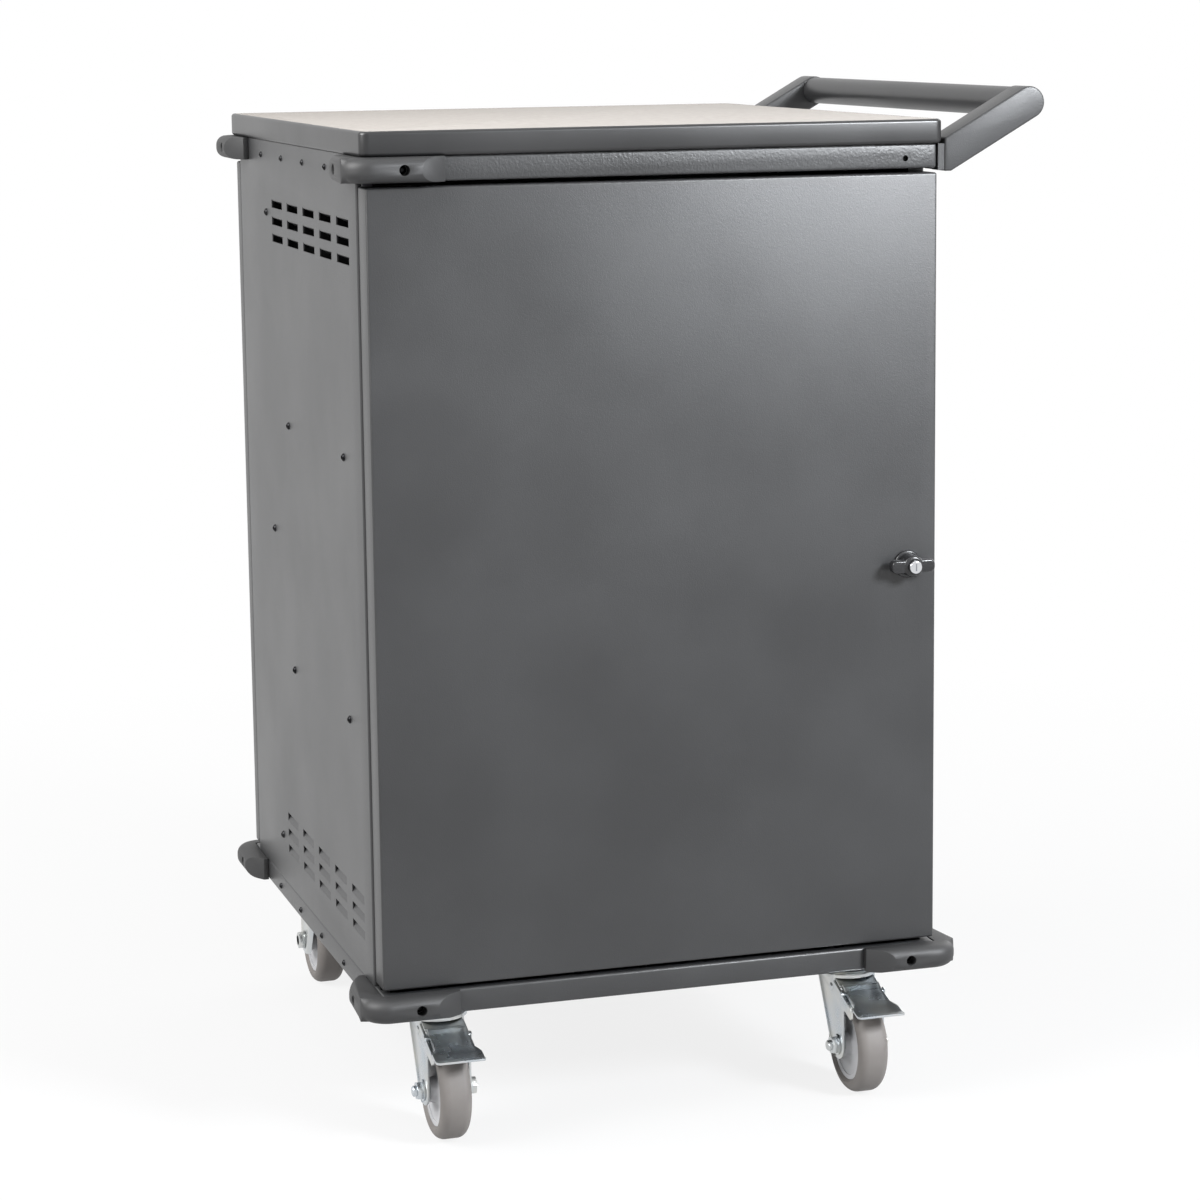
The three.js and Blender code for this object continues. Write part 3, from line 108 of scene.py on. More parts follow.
def surface_grain():
    """Fine grain for bump and a slow mottle for tone and gloss, both on object coordinates."""
    group = bpy.data.node_groups.new("surface grain", "ShaderNodeTree")
    for name in ("Grain scale", "Mottle scale"):
        group.interface.new_socket(name, in_out="INPUT", socket_type="NodeSocketFloat")
    for name in ("Height", "Mottle"):
        group.interface.new_socket(name, in_out="OUTPUT", socket_type="NodeSocketFloat")
    sizes = group.nodes.new("NodeGroupInput")
    result = group.nodes.new("NodeGroupOutput")
    place = group.nodes.new("ShaderNodeTexCoord")
    for scale, output, detail in (("Grain scale", "Height", 3), ("Mottle scale", "Mottle", 4)):
        noise = group.nodes.new("ShaderNodeTexNoise")
        noise.inputs["Detail"].default_value = detail
        wired(group, (place, "Object", noise, "Vector"), (sizes, scale, noise, "Scale"),
              (noise, "Fac", result, output))
    return group


grain = surface_grain()


def ranged(nodes, before, after):
    """A node that maps one span of values to another."""
    node = nodes.new("ShaderNodeMapRange")
    for end, span in (("From", before), ("To", after)):
        node.inputs[end + " Min"].default_value, node.inputs[end + " Max"].default_value = span
    return node


def grained_material(name, dark, light, gloss, grain_scale, depth, mottle_scale=7.0, fixed=()):
    """A finish whose tone and roughness drift slowly over a fine bump."""
    material = bpy.data.materials.new(name)
    material.use_nodes = True
    nodes = material.node_tree.nodes
    shader = nodes["Principled BSDF"]
    for socket, value in fixed:
        shader.inputs[socket].default_value = value
    pattern = nodes.new("ShaderNodeGroup")
    pattern.node_tree = grain
    pattern.inputs["Grain scale"].default_value = grain_scale
    pattern.inputs["Mottle scale"].default_value = mottle_scale
    tone = nodes.new("ShaderNodeValToRGB")
    for stop, position, colour in zip(tone.color_ramp.elements, TONE_STOPS, (dark, light)):
        stop.position, stop.color = position, (*colour, 1)
    shine = ranged(nodes, SHINE_STOPS, gloss)
    bump = nodes.new("ShaderNodeBump")
    bump.inputs["Strength"].default_value = BUMP_STRENGTH
    bump.inputs["Distance"].default_value = depth
    wired(material.node_tree, (pattern, "Mottle", tone, "Fac"), (tone, "Color", shader, "Base Color"),
          (pattern, "Mottle", shine, "Value"), (shine, "Result", shader, "Roughness"),
          (pattern, "Height", bump, "Height"), (bump, "Normal", shader, "Normal"))
    return material


powder_fine = grained_material("powder coat fine", COAT_DARK, COAT_LIGHT, (0.34, 0.41), 900, 0.0002)
powder_coarse = grained_material("powder coat coarse", COAT_DARK, COAT_LIGHT, (0.36, 0.46), 420, 0.0005)


def smoothed(mesh):
    """Shades a mesh smooth except at its real edges."""
    mesh.shade_smooth()
    mesh.set_sharp_from_angle(angle=SMOOTH_ANGLE)
    return mesh


def mesh_from(shape, name):
    """A plain mesh from a bmesh, which is used up."""
    bmesh.ops.recalc_face_normals(shape, faces=shape.faces)
    mesh = bpy.data.meshes.new(name)
    shape.to_mesh(mesh)
    shape.free()
    return smoothed(mesh)


def linked(name, mesh):
    piece = bpy.data.objects.new(name, mesh)
    scene.collection.objects.link(piece)
    return piece


def made(name, shape):
    """A piece from a bmesh."""
    return linked(name, mesh_from(shape, name))


def mesh_of(step):
    """The mesh of a piece that was only a step on the way, which leaves the scene."""
    mesh = step.data
    bpy.data.objects.remove(step)
    return mesh


def fitted(piece, material, body, slot, *nodes):
    """Gives a finished piece its material, the body it moves with and the nodes it stands for."""
    piece.data.materials.clear()
    piece.data.materials.append(material)
    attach(piece, body)
    if nodes:
        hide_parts(*nodes)


def settled(piece):
    """Turns a piece's modifiers into plain mesh."""
    evaluated = piece.evaluated_get(bpy.context.evaluated_depsgraph_get())
    mesh = bpy.data.meshes.new_from_object(evaluated)
    piece.modifiers.clear()
    piece.data = smoothed(mesh)
    return piece


def walled(piece, sheet, offset):
    """Gives an open sheet its thickness: outside it at offset 1, inside it at -1."""
    wall = piece.modifiers.new("sheet", "SOLIDIFY")
    wall.thickness = sheet
    wall.offset = offset
    return piece


def welded(shape):
    bmesh.ops.remove_doubles(shape, verts=shape.verts, dist=WELD_REACH)


def rounded(shape, edges, width, segments):
    bmesh.ops.bevel(shape, geom=edges, offset=width, segments=segments, profile=0.5, affect="EDGES")


def turned(shape, profile, place, axis, sides):
    """Adds to a shape a profile of (radius, height) points turned about an axis through a place."""
    axis = Vector(axis)
    across = axis.orthogonal().normalized()
    over = axis.cross(across)
    angles = [2 * math.pi * i / sides for i in range(sides)]
    rings = []
    for radius, height in profile:
        centre = Vector(place) + axis * height
        if radius == 0:
            rings.append([shape.verts.new(centre)])
            continue
        rings.append([
            shape.verts.new(centre + (across * math.cos(a) + over * math.sin(a)) * radius) for a in angles
        ])
    for one, two in zip(rings, rings[1:]):
        for i in range(sides):
            j = (i + 1) % sides
            corners = [one[i % len(one)], one[j % len(one)], two[j % len(two)], two[i % len(two)]]
            shape.faces.new(list(dict.fromkeys(corners)))
    return shape


def disc(radius, foot, height):
    """The profile of a plain disc or rod."""
    return [(0, foot), (radius, foot), (radius, foot + height), (0, foot + height)]


def rod(shape, radius, start, end, sides=24):
    run = Vector(end) - Vector(start)
    turned(shape, disc(radius, 0, run.length), start, run.normalized(), sides)


def block(shape, low, high):
    """Adds a closed block between two corners."""
    verts = bmesh.ops.create_cube(shape, size=1)["verts"]
    low, high = Vector(low), Vector(high)
    for vert in verts:
        vert.co = (low + high) / 2 + Vector(c * s for c, s in zip(vert.co, high - low))


def cut(piece, cutter_shape):
    """Takes a closed shape away from a piece."""
    cutter = made("cutter", cutter_shape)
    boolean = piece.modifiers.new("cut", "BOOLEAN")
    boolean.operation = "DIFFERENCE"
    boolean.solver = "EXACT"
    boolean.object = cutter
    settled(piece)
    bpy.data.objects.remove(cutter)
    return piece


def drilled(piece, *holes):
    """Takes round holes, each a radius and two ends, out of a piece."""
    shape = bmesh.new()
    for hole in holes:
        rod(shape, *hole)
    return cut(piece, shape)


def folded_pan(node, open_side, lip, sheet, fold):
    """A pan the size of a node, with rounded folds and a lip turned in round its open side."""
    shape = bmesh.new()
    block(shape, *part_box(node))
    bmesh.ops.recalc_face_normals(shape, faces=shape.faces)
    folds = list(shape.edges)
    mouth = max(shape.faces, key=lambda face: face.normal.dot(Vector(open_side)))
    bmesh.ops.inset_region(shape, faces=[mouth], thickness=lip)
    bmesh.ops.delete(shape, geom=[mouth], context="FACES")
    rounded(shape, folds, fold, FOLD_SEGMENTS)
    return settled(walled(made(node + "_folded", shape), sheet, -1))


def pivot_hole(pivot, level, reach):
    return PIVOT_HOLE_RADIUS, (pivot.x, pivot.y, level - reach), (pivot.x, pivot.y, level + reach)


base_low, base_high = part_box("base_tray")
frame_low, frame_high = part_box("top_frame")
base_tray = folded_pan("base_tray", (0, 0, 1), TRAY_LIP, TRAY_SHEET, TRAY_FOLD)
drilled(base_tray, *[pivot_hole(pivot, base_high.z, PIVOT_HOLE_DEPTH) for pivot in PIVOTS])
fitted(base_tray, powder_fine, "cabinet", "powder_coat", "base_tray")
top_frame = folded_pan("top_frame", (0, 0, -1), TRAY_LIP, TRAY_SHEET, TRAY_FOLD)
drilled(top_frame, *[pivot_hole(pivot, frame_low.z, PIVOT_HOLE_DEPTH) for pivot in PIVOTS])
stay_hole = Vector((frame_high.x - STAY_HOLE_INSET, frame_low.y, frame_low.z + STAY_HOLE_RISE))
drilled(top_frame, (STAY_HOLE_RADIUS, *[stay_hole + Vector((0, end, 0)) for end in STAY_HOLE_ENDS]))
fitted(top_frame, powder_coarse, "cabinet", "powder_coat", "top_frame")

# Side panels
# One sheet a side, 1.5 mm thick, with its front and rear edges folded in. Two blocks of louvres
# are lanced and pressed inward: the upper ones open downward and the lower ones upward.
PANEL_SHEET = 0.0015
PANEL_FOLD = 0.0025
PANEL_GAP = 0.0003
FOLD_STEPS = 5
LOUVRE_LENGTH = 0.053
LOUVRE_HEIGHT = 0.009
LOUVRE_SHEET = 0.0012
LOUVRE_TAB = 0.008
LOUVRE_KNEE = 0.004
LOUVRE_NARROWING = 0.002
LOUVRE_BEND = 0.0015
LOUVRE_LEAN = {"upper": 62, "lower": 30}
LOUVRE_COLUMNS = 5
LOUVRE_ROWS = 3
LOUVRE_COLUMN_PITCH = 0.078
LOUVRE_ROW_PITCH = 0.018
LOUVRE_FRONT_INSET = 0.061
LOUVRE_END_INSET = 0.055
WINDOW_REACH = 0.004
INLET_RIM = 0.0025


def arc(centre, radius, start, end, steps):
    """Points on a circle from one angle to another, in degrees."""
    angles = [math.radians(start + (end - start) * i / steps) for i in range(steps + 1)]
    return [(centre[0] + radius * math.cos(a), centre[1] + radius * math.sin(a)) for a in angles]


def spread(count, pitch):
    """Evenly spaced offsets about zero."""
    return [(i - (count - 1) / 2) * pitch for i in range(count)]


def strip_faces(shape, sections, closed=False):
    """Joins a run of matching point rows with faces."""
    rows = [[shape.verts.new(point) for point in section] for section in sections]
    for one, two in zip(rows, rows[1:]):
        count = len(one)
        for i in range(count if closed else count - 1):
            j = (i + 1) % count
            shape.faces.new((one[i], one[j], two[j], two[i]))


def parts_on_points():
    """A tree that puts a part on every point, at one turn, as plain mesh."""
    tree = bpy.data.node_groups.new("parts on points", "GeometryNodeTree")
    for name, kind in (("Geometry", "Geometry"), ("Part", "Object"), ("Turn", "Vector")):
        tree.interface.new_socket(name, in_out="INPUT", socket_type="NodeSocket" + kind)
    tree.interface.new_socket("Geometry", in_out="OUTPUT", socket_type="NodeSocketGeometry")
    given, part, place, turn, real, result = [tree.nodes.new(kind) for kind in (
        "NodeGroupInput", "GeometryNodeObjectInfo", "GeometryNodeInstanceOnPoints",
        "FunctionNodeEulerToRotation", "GeometryNodeRealizeInstances", "NodeGroupOutput",
    )]
    wired(tree, (given, "Part", part, "Object"), (given, "Geometry", place, "Points"),
          (part, "Geometry", place, "Instance"), (given, "Turn", turn, "Euler"),
          (turn, "Rotation", place, "Rotation"), (place, "Instances", real, "Geometry"),
          (real, "Geometry", result, "Geometry"))
    return tree


repeat_tree = parts_on_points()


def repeated(name, part_mesh, places, turn=(0, 0, 0)):
    """One plain mesh of a part repeated at each place."""
    points = bpy.data.meshes.new(name)
    points.from_pydata([tuple(place) for place in places], [], [])
    piece = linked(name, points)
    part = linked(name + "_one", part_mesh)
    maker = piece.modifiers.new("repeat", "NODES")
    maker.node_group = repeat_tree
    values = {"Part": part, "Turn": turn}
    for item in repeat_tree.interface.items_tree:
        if item.in_out == "INPUT" and item.name in values:
            maker[item.identifier] = values[item.name]
    settled(piece)
    bpy.data.objects.remove(part)
    return piece


def louvre_places(front, outer):
    """The middle of each louvre's window, for the upper and the lower block."""
    door_low, door_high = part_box("front_door")
    levels = {"upper": door_high.z - LOUVRE_END_INSET, "lower": door_low.z + LOUVRE_END_INSET}
    return {
        label: [
            Vector((outer, front + LOUVRE_FRONT_INSET + column * LOUVRE_COLUMN_PITCH, level + row))
            for row in spread(LOUVRE_ROWS, LOUVRE_ROW_PITCH) for column in range(LOUVRE_COLUMNS)
        ]
        for label, level in levels.items()
    }


def louvre_tab(inward, lean):
    """A tab that bends out of the sheet, leans inward by an angle and narrows to its free edge."""
    bend = [(LOUVRE_BEND - across, up) for across, up in arc((0, 0), LOUVRE_BEND, 0, lean, FOLD_STEPS)]
    root, rise = bend[-1]
    turn = math.radians(lean)
    runs = [(root + run * math.sin(turn), rise + run * math.cos(turn)) for run in (LOUVRE_KNEE, LOUVRE_TAB)]
    sections = []
    for out, up in bend + runs:
        half = LOUVRE_LENGTH / 2 - LOUVRE_NARROWING * up / LOUVRE_TAB
        sections.append([(inward * out, half * k / 3, up) for k in range(-3, 4)])
    shape = bmesh.new()
    strip_faces(shape, sections)
    return mesh_of(settled(walled(made("louvre", shape), LOUVRE_SHEET, 0)))


def side_panel(node, side):
    low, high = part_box(node)
    outer, inner = (low.x, high.x) if side < 0 else (high.x, low.x)
    notch = frame_low.z - PANEL_GAP
    fold = (270, 180) if side < 0 else (-90, 0)
    near = arc((outer - side * PANEL_FOLD, low.y + PANEL_FOLD), PANEL_FOLD, *fold, FOLD_STEPS)
    far = [(x, low.y + high.y - y) for x, y in reversed(near)]
    profile = [(inner, low.y), *near, *far, (inner, high.y)]
    shape = bmesh.new()
    for points, levels in ((profile, (low.z, notch)), ([near[-1], far[0]], (notch, high.z))):
        strip_faces(shape, [[(x, y, z) for x, y in points] for z in levels])
    welded(shape)
    panel = made(node + "_folded", shape)
    flat = panel.data.polygons[len(near)]
    settled(walled(panel, PANEL_SHEET, -1 if flat.normal.x * side > 0 else 1))
    places = louvre_places(low.y, outer)
    half = Vector((WINDOW_REACH, LOUVRE_LENGTH / 2, LOUVRE_HEIGHT / 2))
    windows = bmesh.new()
    for place in places["upper"] + places["lower"]:
        block(windows, place - half, place + half)
    if side > 0:
        inlet_low, inlet_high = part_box("power_inlet")
        block(windows, (high.x - WINDOW_REACH, inlet_low.y + INLET_RIM, inlet_low.z + INLET_RIM),
              (high.x + WINDOW_REACH, inlet_high.y - INLET_RIM, inlet_high.z - INLET_RIM))
    fitted(cut(panel, windows), powder_fine, "cabinet", "powder_coat", node)
    for label, stands, turn in (("upper", -1, (math.pi, 0, 0)), ("lower", 1, (0, 0, 0))):
        root = Vector((-side * PANEL_SHEET / 2, 0, -stands * LOUVRE_HEIGHT / 2))
        tabs = repeated(f"{node}_louvres_{label}", louvre_tab(-side, LOUVRE_LEAN[label]),
                        [place + root for place in places[label]], turn)
        fitted(tabs, powder_fine, "cabinet", "powder_coat")


side_panel("side_panel_left", -1)
side_panel("side_panel_right", 1)

# Shelves, rear partition and divider racks
# Folded sheet inside the cabinet. The partition has a cable slot for each tier, and each rack is
# a row of upright dividers with a swept front corner, spot-welded to two flat rails.
INNER_FOLD = 0.0006
DIVIDER_SHEET = 0.002
DIVIDER_SWEEP = 0.060
DIVIDER_PITCH = 0.071
DIVIDER_COUNT = 7
RAIL_INSET = 0.070
RAIL_WIDTH = 0.024


def edged(piece, width, angle):
    """Rounds a piece's edges that are sharper than an angle in degrees."""
    bevel = piece.modifiers.new("edges", "BEVEL")
    bevel.width = width
    bevel.segments = 2
    bevel.limit_method = "ANGLE"
    bevel.angle_limit = math.radians(angle)
    return piece


def rounded_copy(node, width):
    """A copy of a node's mesh with its flats joined up and its edges softened."""
    shape = bmesh.new()
    shape.from_mesh(frame["nodes"][node].data)
    welded(shape)
    bmesh.ops.dissolve_limit(shape, angle_limit=math.radians(1), verts=shape.verts, edges=shape.edges)
    return settled(edged(made(node + "_finished", shape), width, 40))


def pulled(shape, faces, along):
    """Pulls faces of a shape along a vector, which leaves a closed solid."""
    items = bmesh.ops.extrude_face_region(shape, geom=faces, use_keep_orig=True)["geom"]
    moved = [item for item in items if isinstance(item, bmesh.types.BMVert)]
    bmesh.ops.translate(shape, verts=moved, vec=along)


def softened(shape, width, segments=2, angle=40):
    """Rounds every real edge of a shape."""
    bmesh.ops.recalc_face_normals(shape, faces=shape.faces)
    sharp = [edge for edge in shape.edges if edge.calc_face_angle(0) > math.radians(angle)]
    rounded(shape, sharp, width, segments)


def slab(points, along, edge=0, segments=2, angle=40):
    """A closed slab: a face through the points, pulled along a vector, with its edges rounded."""
    shape = bmesh.new()
    pulled(shape, [shape.faces.new([shape.verts.new(point) for point in points])], along)
    if edge:
        softened(shape, edge, segments, angle)
    return shape


for node in ("shelf_lower", "shelf_upper", "rear_partition"):
    fitted(rounded_copy(node, INNER_FOLD), powder_fine, "cabinet", "powder_coat", node)

for level in ("bottom", "middle", "top"):
    node = f"divider_rack_{level}"
    low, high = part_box(node)
    sweep = arc((low.y + DIVIDER_SWEEP, high.z - DIVIDER_SWEEP), DIVIDER_SWEEP, 90, 180, 12)
    outline = [(low.y, low.z), (high.y, low.z), (high.y, high.z), *sweep]
    divider = slab([(-DIVIDER_SHEET / 2, y, z) for y, z in outline], (DIVIDER_SHEET, 0, 0), INNER_FOLD)
    middle = (low.x + high.x) / 2
    row = [(middle + offset, 0, 0) for offset in spread(DIVIDER_COUNT, DIVIDER_PITCH)]
    dividers = repeated(f"{node}_dividers", mesh_from(divider, node), row)
    fitted(dividers, powder_fine, "cabinet", "powder_coat", node)
    rails = bmesh.new()
    for start in (low.y + RAIL_INSET, high.y - RAIL_INSET - RAIL_WIDTH):
        block(rails, (low.x, start, low.z), (high.x, start + RAIL_WIDTH, low.z + DIVIDER_SHEET))
    softened(rails, INNER_FOLD / 2)
    fitted(made(f"{node}_rails", rails), powder_fine, "cabinet", "powder_coat")

# Outlet strips
# Two black moulded power strips screwed to the back of the partition, each with a row of earthed
# outlets whose slots are open to the contacts behind.
BLACK_DARK = (0.010, 0.010, 0.011)
BLACK_LIGHT = (0.016, 0.016, 0.017)
STRIP_CHAMFER = 0.006
STRIP_EDGE = 0.001
OUTLET_STAND = 0.002
OUTLET_COUNT = 12
OUTLET_PITCH = 0.054
OUTLET_SIZE = (0.030, 0.038)
OUTLET_CORNER = 0.004
BLADE_SLOT = (0.0022, 0.0085)
BLADE_SLOT_CORNER = 0.0004
BLADE_SLOT_RISE = 0.004
BLADE_SPACING = 0.0064
EARTH_RADIUS = 0.0026
EARTH_DROP = 0.0095
CORNERS = ((1, -1, -90), (1, 1, 0), (-1, 1, 90), (-1, -1, 180))
black_plastic = grained_material("black plastic", BLACK_DARK, BLACK_LIGHT, (0.34, 0.46), 1800, 0.00008)


def pierced_plate(outline, holes, depth):
    """A plate in the XZ plane with holes through it, its face at y = 0 and its back at -depth."""
    shape = bmesh.new()
    edges = []
    for loop in (outline, *holes):
        verts = [shape.verts.new((x, 0, z)) for x, z in loop]
        edges += [shape.edges.new(pair) for pair in zip(verts, verts[1:] + verts[:1])]
    filled = bmesh.ops.triangle_fill(shape, use_beauty=True, edges=edges)["geom"]
    pulled(shape, [item for item in filled if isinstance(item, bmesh.types.BMFace)], (0, -depth, 0))
    return shape


def rounded_rectangle(width, height, radius, steps=4, centre=(0, 0)):
    points = []
    for across, up, start in CORNERS:
        corner = (centre[0] + across * (width / 2 - radius), centre[1] + up * (height / 2 - radius))
        points += arc(corner, radius, start, start + 90, steps)
    return points


def outlet_face():
    slots = [
        rounded_rectangle(*BLADE_SLOT, BLADE_SLOT_CORNER, 1, (side * BLADE_SPACING, BLADE_SLOT_RISE))
        for side in (-1, 1)
    ]
    earth = arc((0, BLADE_SLOT_RISE - EARTH_DROP), EARTH_RADIUS, 0, 330, 11)
    return pierced_plate(rounded_rectangle(*OUTLET_SIZE, OUTLET_CORNER), [*slots, earth], OUTLET_STAND)


for side in ("left", "right"):
    node = f"outlet_strip_{side}"
    low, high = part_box(node)
    face = high.y - OUTLET_STAND
    outline = [
        (low.x, low.y), (high.x, low.y), (high.x, face - STRIP_CHAMFER), (high.x - STRIP_CHAMFER, face),
        (low.x + STRIP_CHAMFER, face), (low.x, face - STRIP_CHAMFER),
    ]
    strip = slab([(x, y, low.z) for x, y in outline], (0, 0, high.z - low.z), STRIP_EDGE, angle=30)
    fitted(made(f"{node}_case", strip), black_plastic, "cabinet", "black_plastic", node)
    middle = (low + high) / 2
    places = [(middle.x, high.y, middle.z + offset) for offset in spread(OUTLET_COUNT, OUTLET_PITCH)]
    outlets = repeated(f"{node}_outlets", mesh_from(outlet_face(), node), places)
    fitted(outlets, black_plastic, "cabinet", "black_plastic")

# Power inlet and rocker switch
# A snap-in moulding through the right panel: three plated blades in the plug socket, and above
# them a rocker that tips about its middle.
INLET_EDGE = 0.0008
BLADE = Vector((0.011, 0.002, 0.005))
BLADE_ROOT = 0.001
BLADE_EDGE = 0.0004
BLADE_SPREAD = 0.007
BLADE_STEP = 0.004
ZINC_COOL = (0.50, 0.54, 0.58)
ZINC_WARM = (0.60, 0.60, 0.57)
METAL = (("Metallic", 1.0),)
zinc = grained_material("zinc plate", ZINC_COOL, ZINC_WARM, (0.25, 0.33), 900, 0.00003, 24.0, METAL)
for node, body in (("power_inlet", "cabinet"), ("power_switch", "power_switch")):
    fitted(rounded_copy(node, INLET_EDGE), black_plastic, body, "black_plastic", node)
opening_box = {opening["name"]: opening["box_m"] for opening in frame["record"]["physics"]["openings"]}
socket_low, socket_high = [Vector(corner) for corner in opening_box["inlet_socket"]]
socket_middle = (socket_low + socket_high) / 2
blades = bmesh.new()
for across, up in ((-BLADE_SPREAD, -BLADE_STEP), (BLADE_SPREAD, -BLADE_STEP), (0, BLADE_STEP)):
    foot = Vector((socket_low.x - BLADE_ROOT, socket_middle.y + across, socket_middle.z + up))
    half = Vector((0, BLADE.y / 2, BLADE.z / 2))
    block(blades, foot - half, foot + half + Vector((BLADE.x, 0, 0)))
softened(blades, BLADE_EDGE)
fitted(made("power_inlet_blades", blades), zinc, "cabinet", "zinc")

# Worktop
# A board faced with a pale beige laminate, in a black extruded edge moulding that is pressed into
# a groove all the way round and has rounded lips.
EDGE_THICKNESS = 0.0037
EDGE_ROUND = 0.0033
EDGE_CORNER = 0.009
EDGE_CORNER_STEPS = 8
BOARD_EDGE = 0.0004
laminate = grained_material(
    "laminate", (0.330, 0.306, 0.283), (0.380, 0.355, 0.331), (0.66, 0.76), 700, 0.00006, 160.0,
    (("Specular IOR Level", 0.08),),
)
edge_plastic = grained_material(
    "edge moulding", (0.009, 0.009, 0.0095), (0.013, 0.013, 0.0135), (0.30, 0.38), 1100, 0.00006,
)
board_low, board_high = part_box("worktop_board")
board_size, board_middle = board_high - board_low, (board_low + board_high) / 2
board_outline = rounded_rectangle(board_size.x, board_size.y, EDGE_CORNER - EDGE_THICKNESS, 6, board_middle)
board = slab([(x, y, board_low.z) for x, y in board_outline], (0, 0, board_size.z), BOARD_EDGE)
fitted(made("worktop_board_laminated", board), laminate, "cabinet", "laminate", "worktop_board")

edge_low, edge_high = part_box("worktop_edge")
edge_size, edge_middle = edge_high - edge_low, (edge_low + edge_high) / 2
bottom_lip = arc((EDGE_THICKNESS - EDGE_ROUND, edge_low.z + EDGE_ROUND), EDGE_ROUND, -90, 0, 6)
top_lip = arc((EDGE_THICKNESS - EDGE_ROUND, edge_high.z - EDGE_ROUND), EDGE_ROUND, 0, 90, 6)
edge_loops = []
for out, level in [(0, edge_low.z), *bottom_lip, *top_lip, (0, edge_high.z)]:
    inset = EDGE_THICKNESS - out
    loop = rounded_rectangle(edge_size.x - 2 * inset, edge_size.y - 2 * inset, EDGE_CORNER - inset,
                             EDGE_CORNER_STEPS, edge_middle)
    edge_loops.append([(x, y, level) for x, y in loop])
edge_sections = list(zip(*edge_loops))
edge_shape = bmesh.new()
strip_faces(edge_shape, edge_sections + edge_sections[:1], closed=True)
welded(edge_shape)
fitted(made("worktop_edge_moulded", edge_shape), edge_plastic, "cabinet", "black_edge", "worktop_edge")

# Corner bumpers
# Half-round rubber mouldings bent round the cabinet's corners. Their ends are cut on a slant, and
# a recessed screw holds each leg.
BUMPER_LEG = 0.077
BUMPER_STAND = 0.022
BUMPER_CORNER = 0.028
BUMPER_ROUND = 0.0102
BUMPER_TAPER = 0.026
BUMPER_END = 0.006
BUMPER_GAP = 0.0003
BUMPER_SOFT = 0.0012
BUMPER_SCREW_INSET = 0.034
BUMPER_SCREW_RADIUS = 0.0052
BUMPER_SCREW_DEPTH = 0.013
BUMPER_BORE_LEAD = 0.004
BUMPER_HEAD = (0.0045, 0.0035, 0.0018, 0.002)
HEAD_DOME = (25, 50, 68)
HEAD_MIDDLE = 0.96
FACE_TURNS = {
    "left": (0, -math.pi / 2, 0), "right": (0, math.pi / 2, 0), "front": (math.pi / 2, 0, 0),
    "rear": (-math.pi / 2, 0, 0), "down": (math.pi, 0, 0),
}
rubber = grained_material(
    "bumper rubber", (0.015, 0.015, 0.0155), (0.020, 0.020, 0.0205), (0.48, 0.60), 1300, 0.00012,
)
black_screw = grained_material(
    "blackened screw", (0.012, 0.012, 0.013), (0.022, 0.022, 0.023), (0.24, 0.34), 1500, 0.00003, fixed=METAL,
)


def screw_head(radius, height, socket_radius, socket_depth):
    """A button head with a hexagon socket, its seat at the origin and facing +Z."""
    dome = [(radius * math.cos(math.radians(a)), height * math.sin(math.radians(a))) for a in HEAD_DOME]
    profile = [(0, 0), (radius, 0), *dome, (0, height * HEAD_MIDDLE)]
    head = made("head", turned(bmesh.new(), profile, (0, 0, 0), (0, 0, 1), 20))
    socket = (socket_radius, (0, 0, height - socket_depth), (0, 0, height * 2), 6)
    return mesh_of(drilled(head, socket))


def on_plan(point):
    return round(point[0], 5), round(point[1], 5)


bumper_screws = {"left": [], "right": [], "front": [], "rear": []}
for node in [name for name in frame["nodes"] if name.startswith("bumper_")]:
    low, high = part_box(node)
    along, across = ("front" if "front" in node else "rear"), ("left" if node.endswith("left") else "right")
    side_x, corner_x = (-1, base_low.x) if across == "left" else (1, base_high.x)
    side_y, corner_y = (-1, base_low.y) if along == "front" else (1, base_high.y)
    bend = arc((BUMPER_STAND - BUMPER_CORNER,) * 2, BUMPER_CORNER, 90, 0, 14)
    outer = [(BUMPER_TAPER - BUMPER_LEG, BUMPER_STAND), *bend, (BUMPER_STAND, BUMPER_TAPER - BUMPER_LEG)]
    outline = [
        (-BUMPER_LEG, BUMPER_GAP), (-BUMPER_LEG, BUMPER_END), *outer, (BUMPER_END, -BUMPER_LEG),
        (BUMPER_GAP, -BUMPER_LEG), (BUMPER_GAP, BUMPER_GAP),
    ]
    shape = slab([(corner_x + side_x * u, corner_y + side_y * v, low.z) for u, v in outline],
                 (0, 0, high.z - low.z))
    bmesh.ops.recalc_face_normals(shape, faces=shape.faces)
    rim = {on_plan((corner_x + side_x * u, corner_y + side_y * v)) for u, v in outer}
    rim_edges = [
        edge for edge in shape.edges
        if abs(edge.verts[0].co.z - edge.verts[1].co.z) < WELD_REACH
        and all(on_plan(vert.co) in rim for vert in edge.verts)
    ]
    rounded(shape, rim_edges, BUMPER_ROUND, 7)
    level = (low.z + high.z) / 2
    mouths = {
        across: (Vector((corner_x + side_x * BUMPER_STAND, corner_y - side_y * BUMPER_SCREW_INSET, level)),
                 Vector((-side_x, 0, 0))),
        along: (Vector((corner_x - side_x * BUMPER_SCREW_INSET, corner_y + side_y * BUMPER_STAND, level)),
                Vector((0, -side_y, 0))),
    }
    bores = []
    for facing, (mouth, inward) in mouths.items():
        seat = mouth + inward * BUMPER_SCREW_DEPTH
        bores.append((BUMPER_SCREW_RADIUS, mouth - inward * BUMPER_BORE_LEAD, seat))
        bumper_screws[facing].append(seat)
    bumper = drilled(made(node + "_moulded", shape), *bores)
    fitted(settled(edged(bumper, BUMPER_SOFT, 35)), rubber, "cabinet", "bumper_rubber", node)

for facing, places in bumper_screws.items():
    screws = repeated(f"bumper_screws_{facing}", screw_head(*BUMPER_HEAD), places, FACE_TURNS[facing])
    fitted(screws, black_screw, "cabinet", "black_plastic")

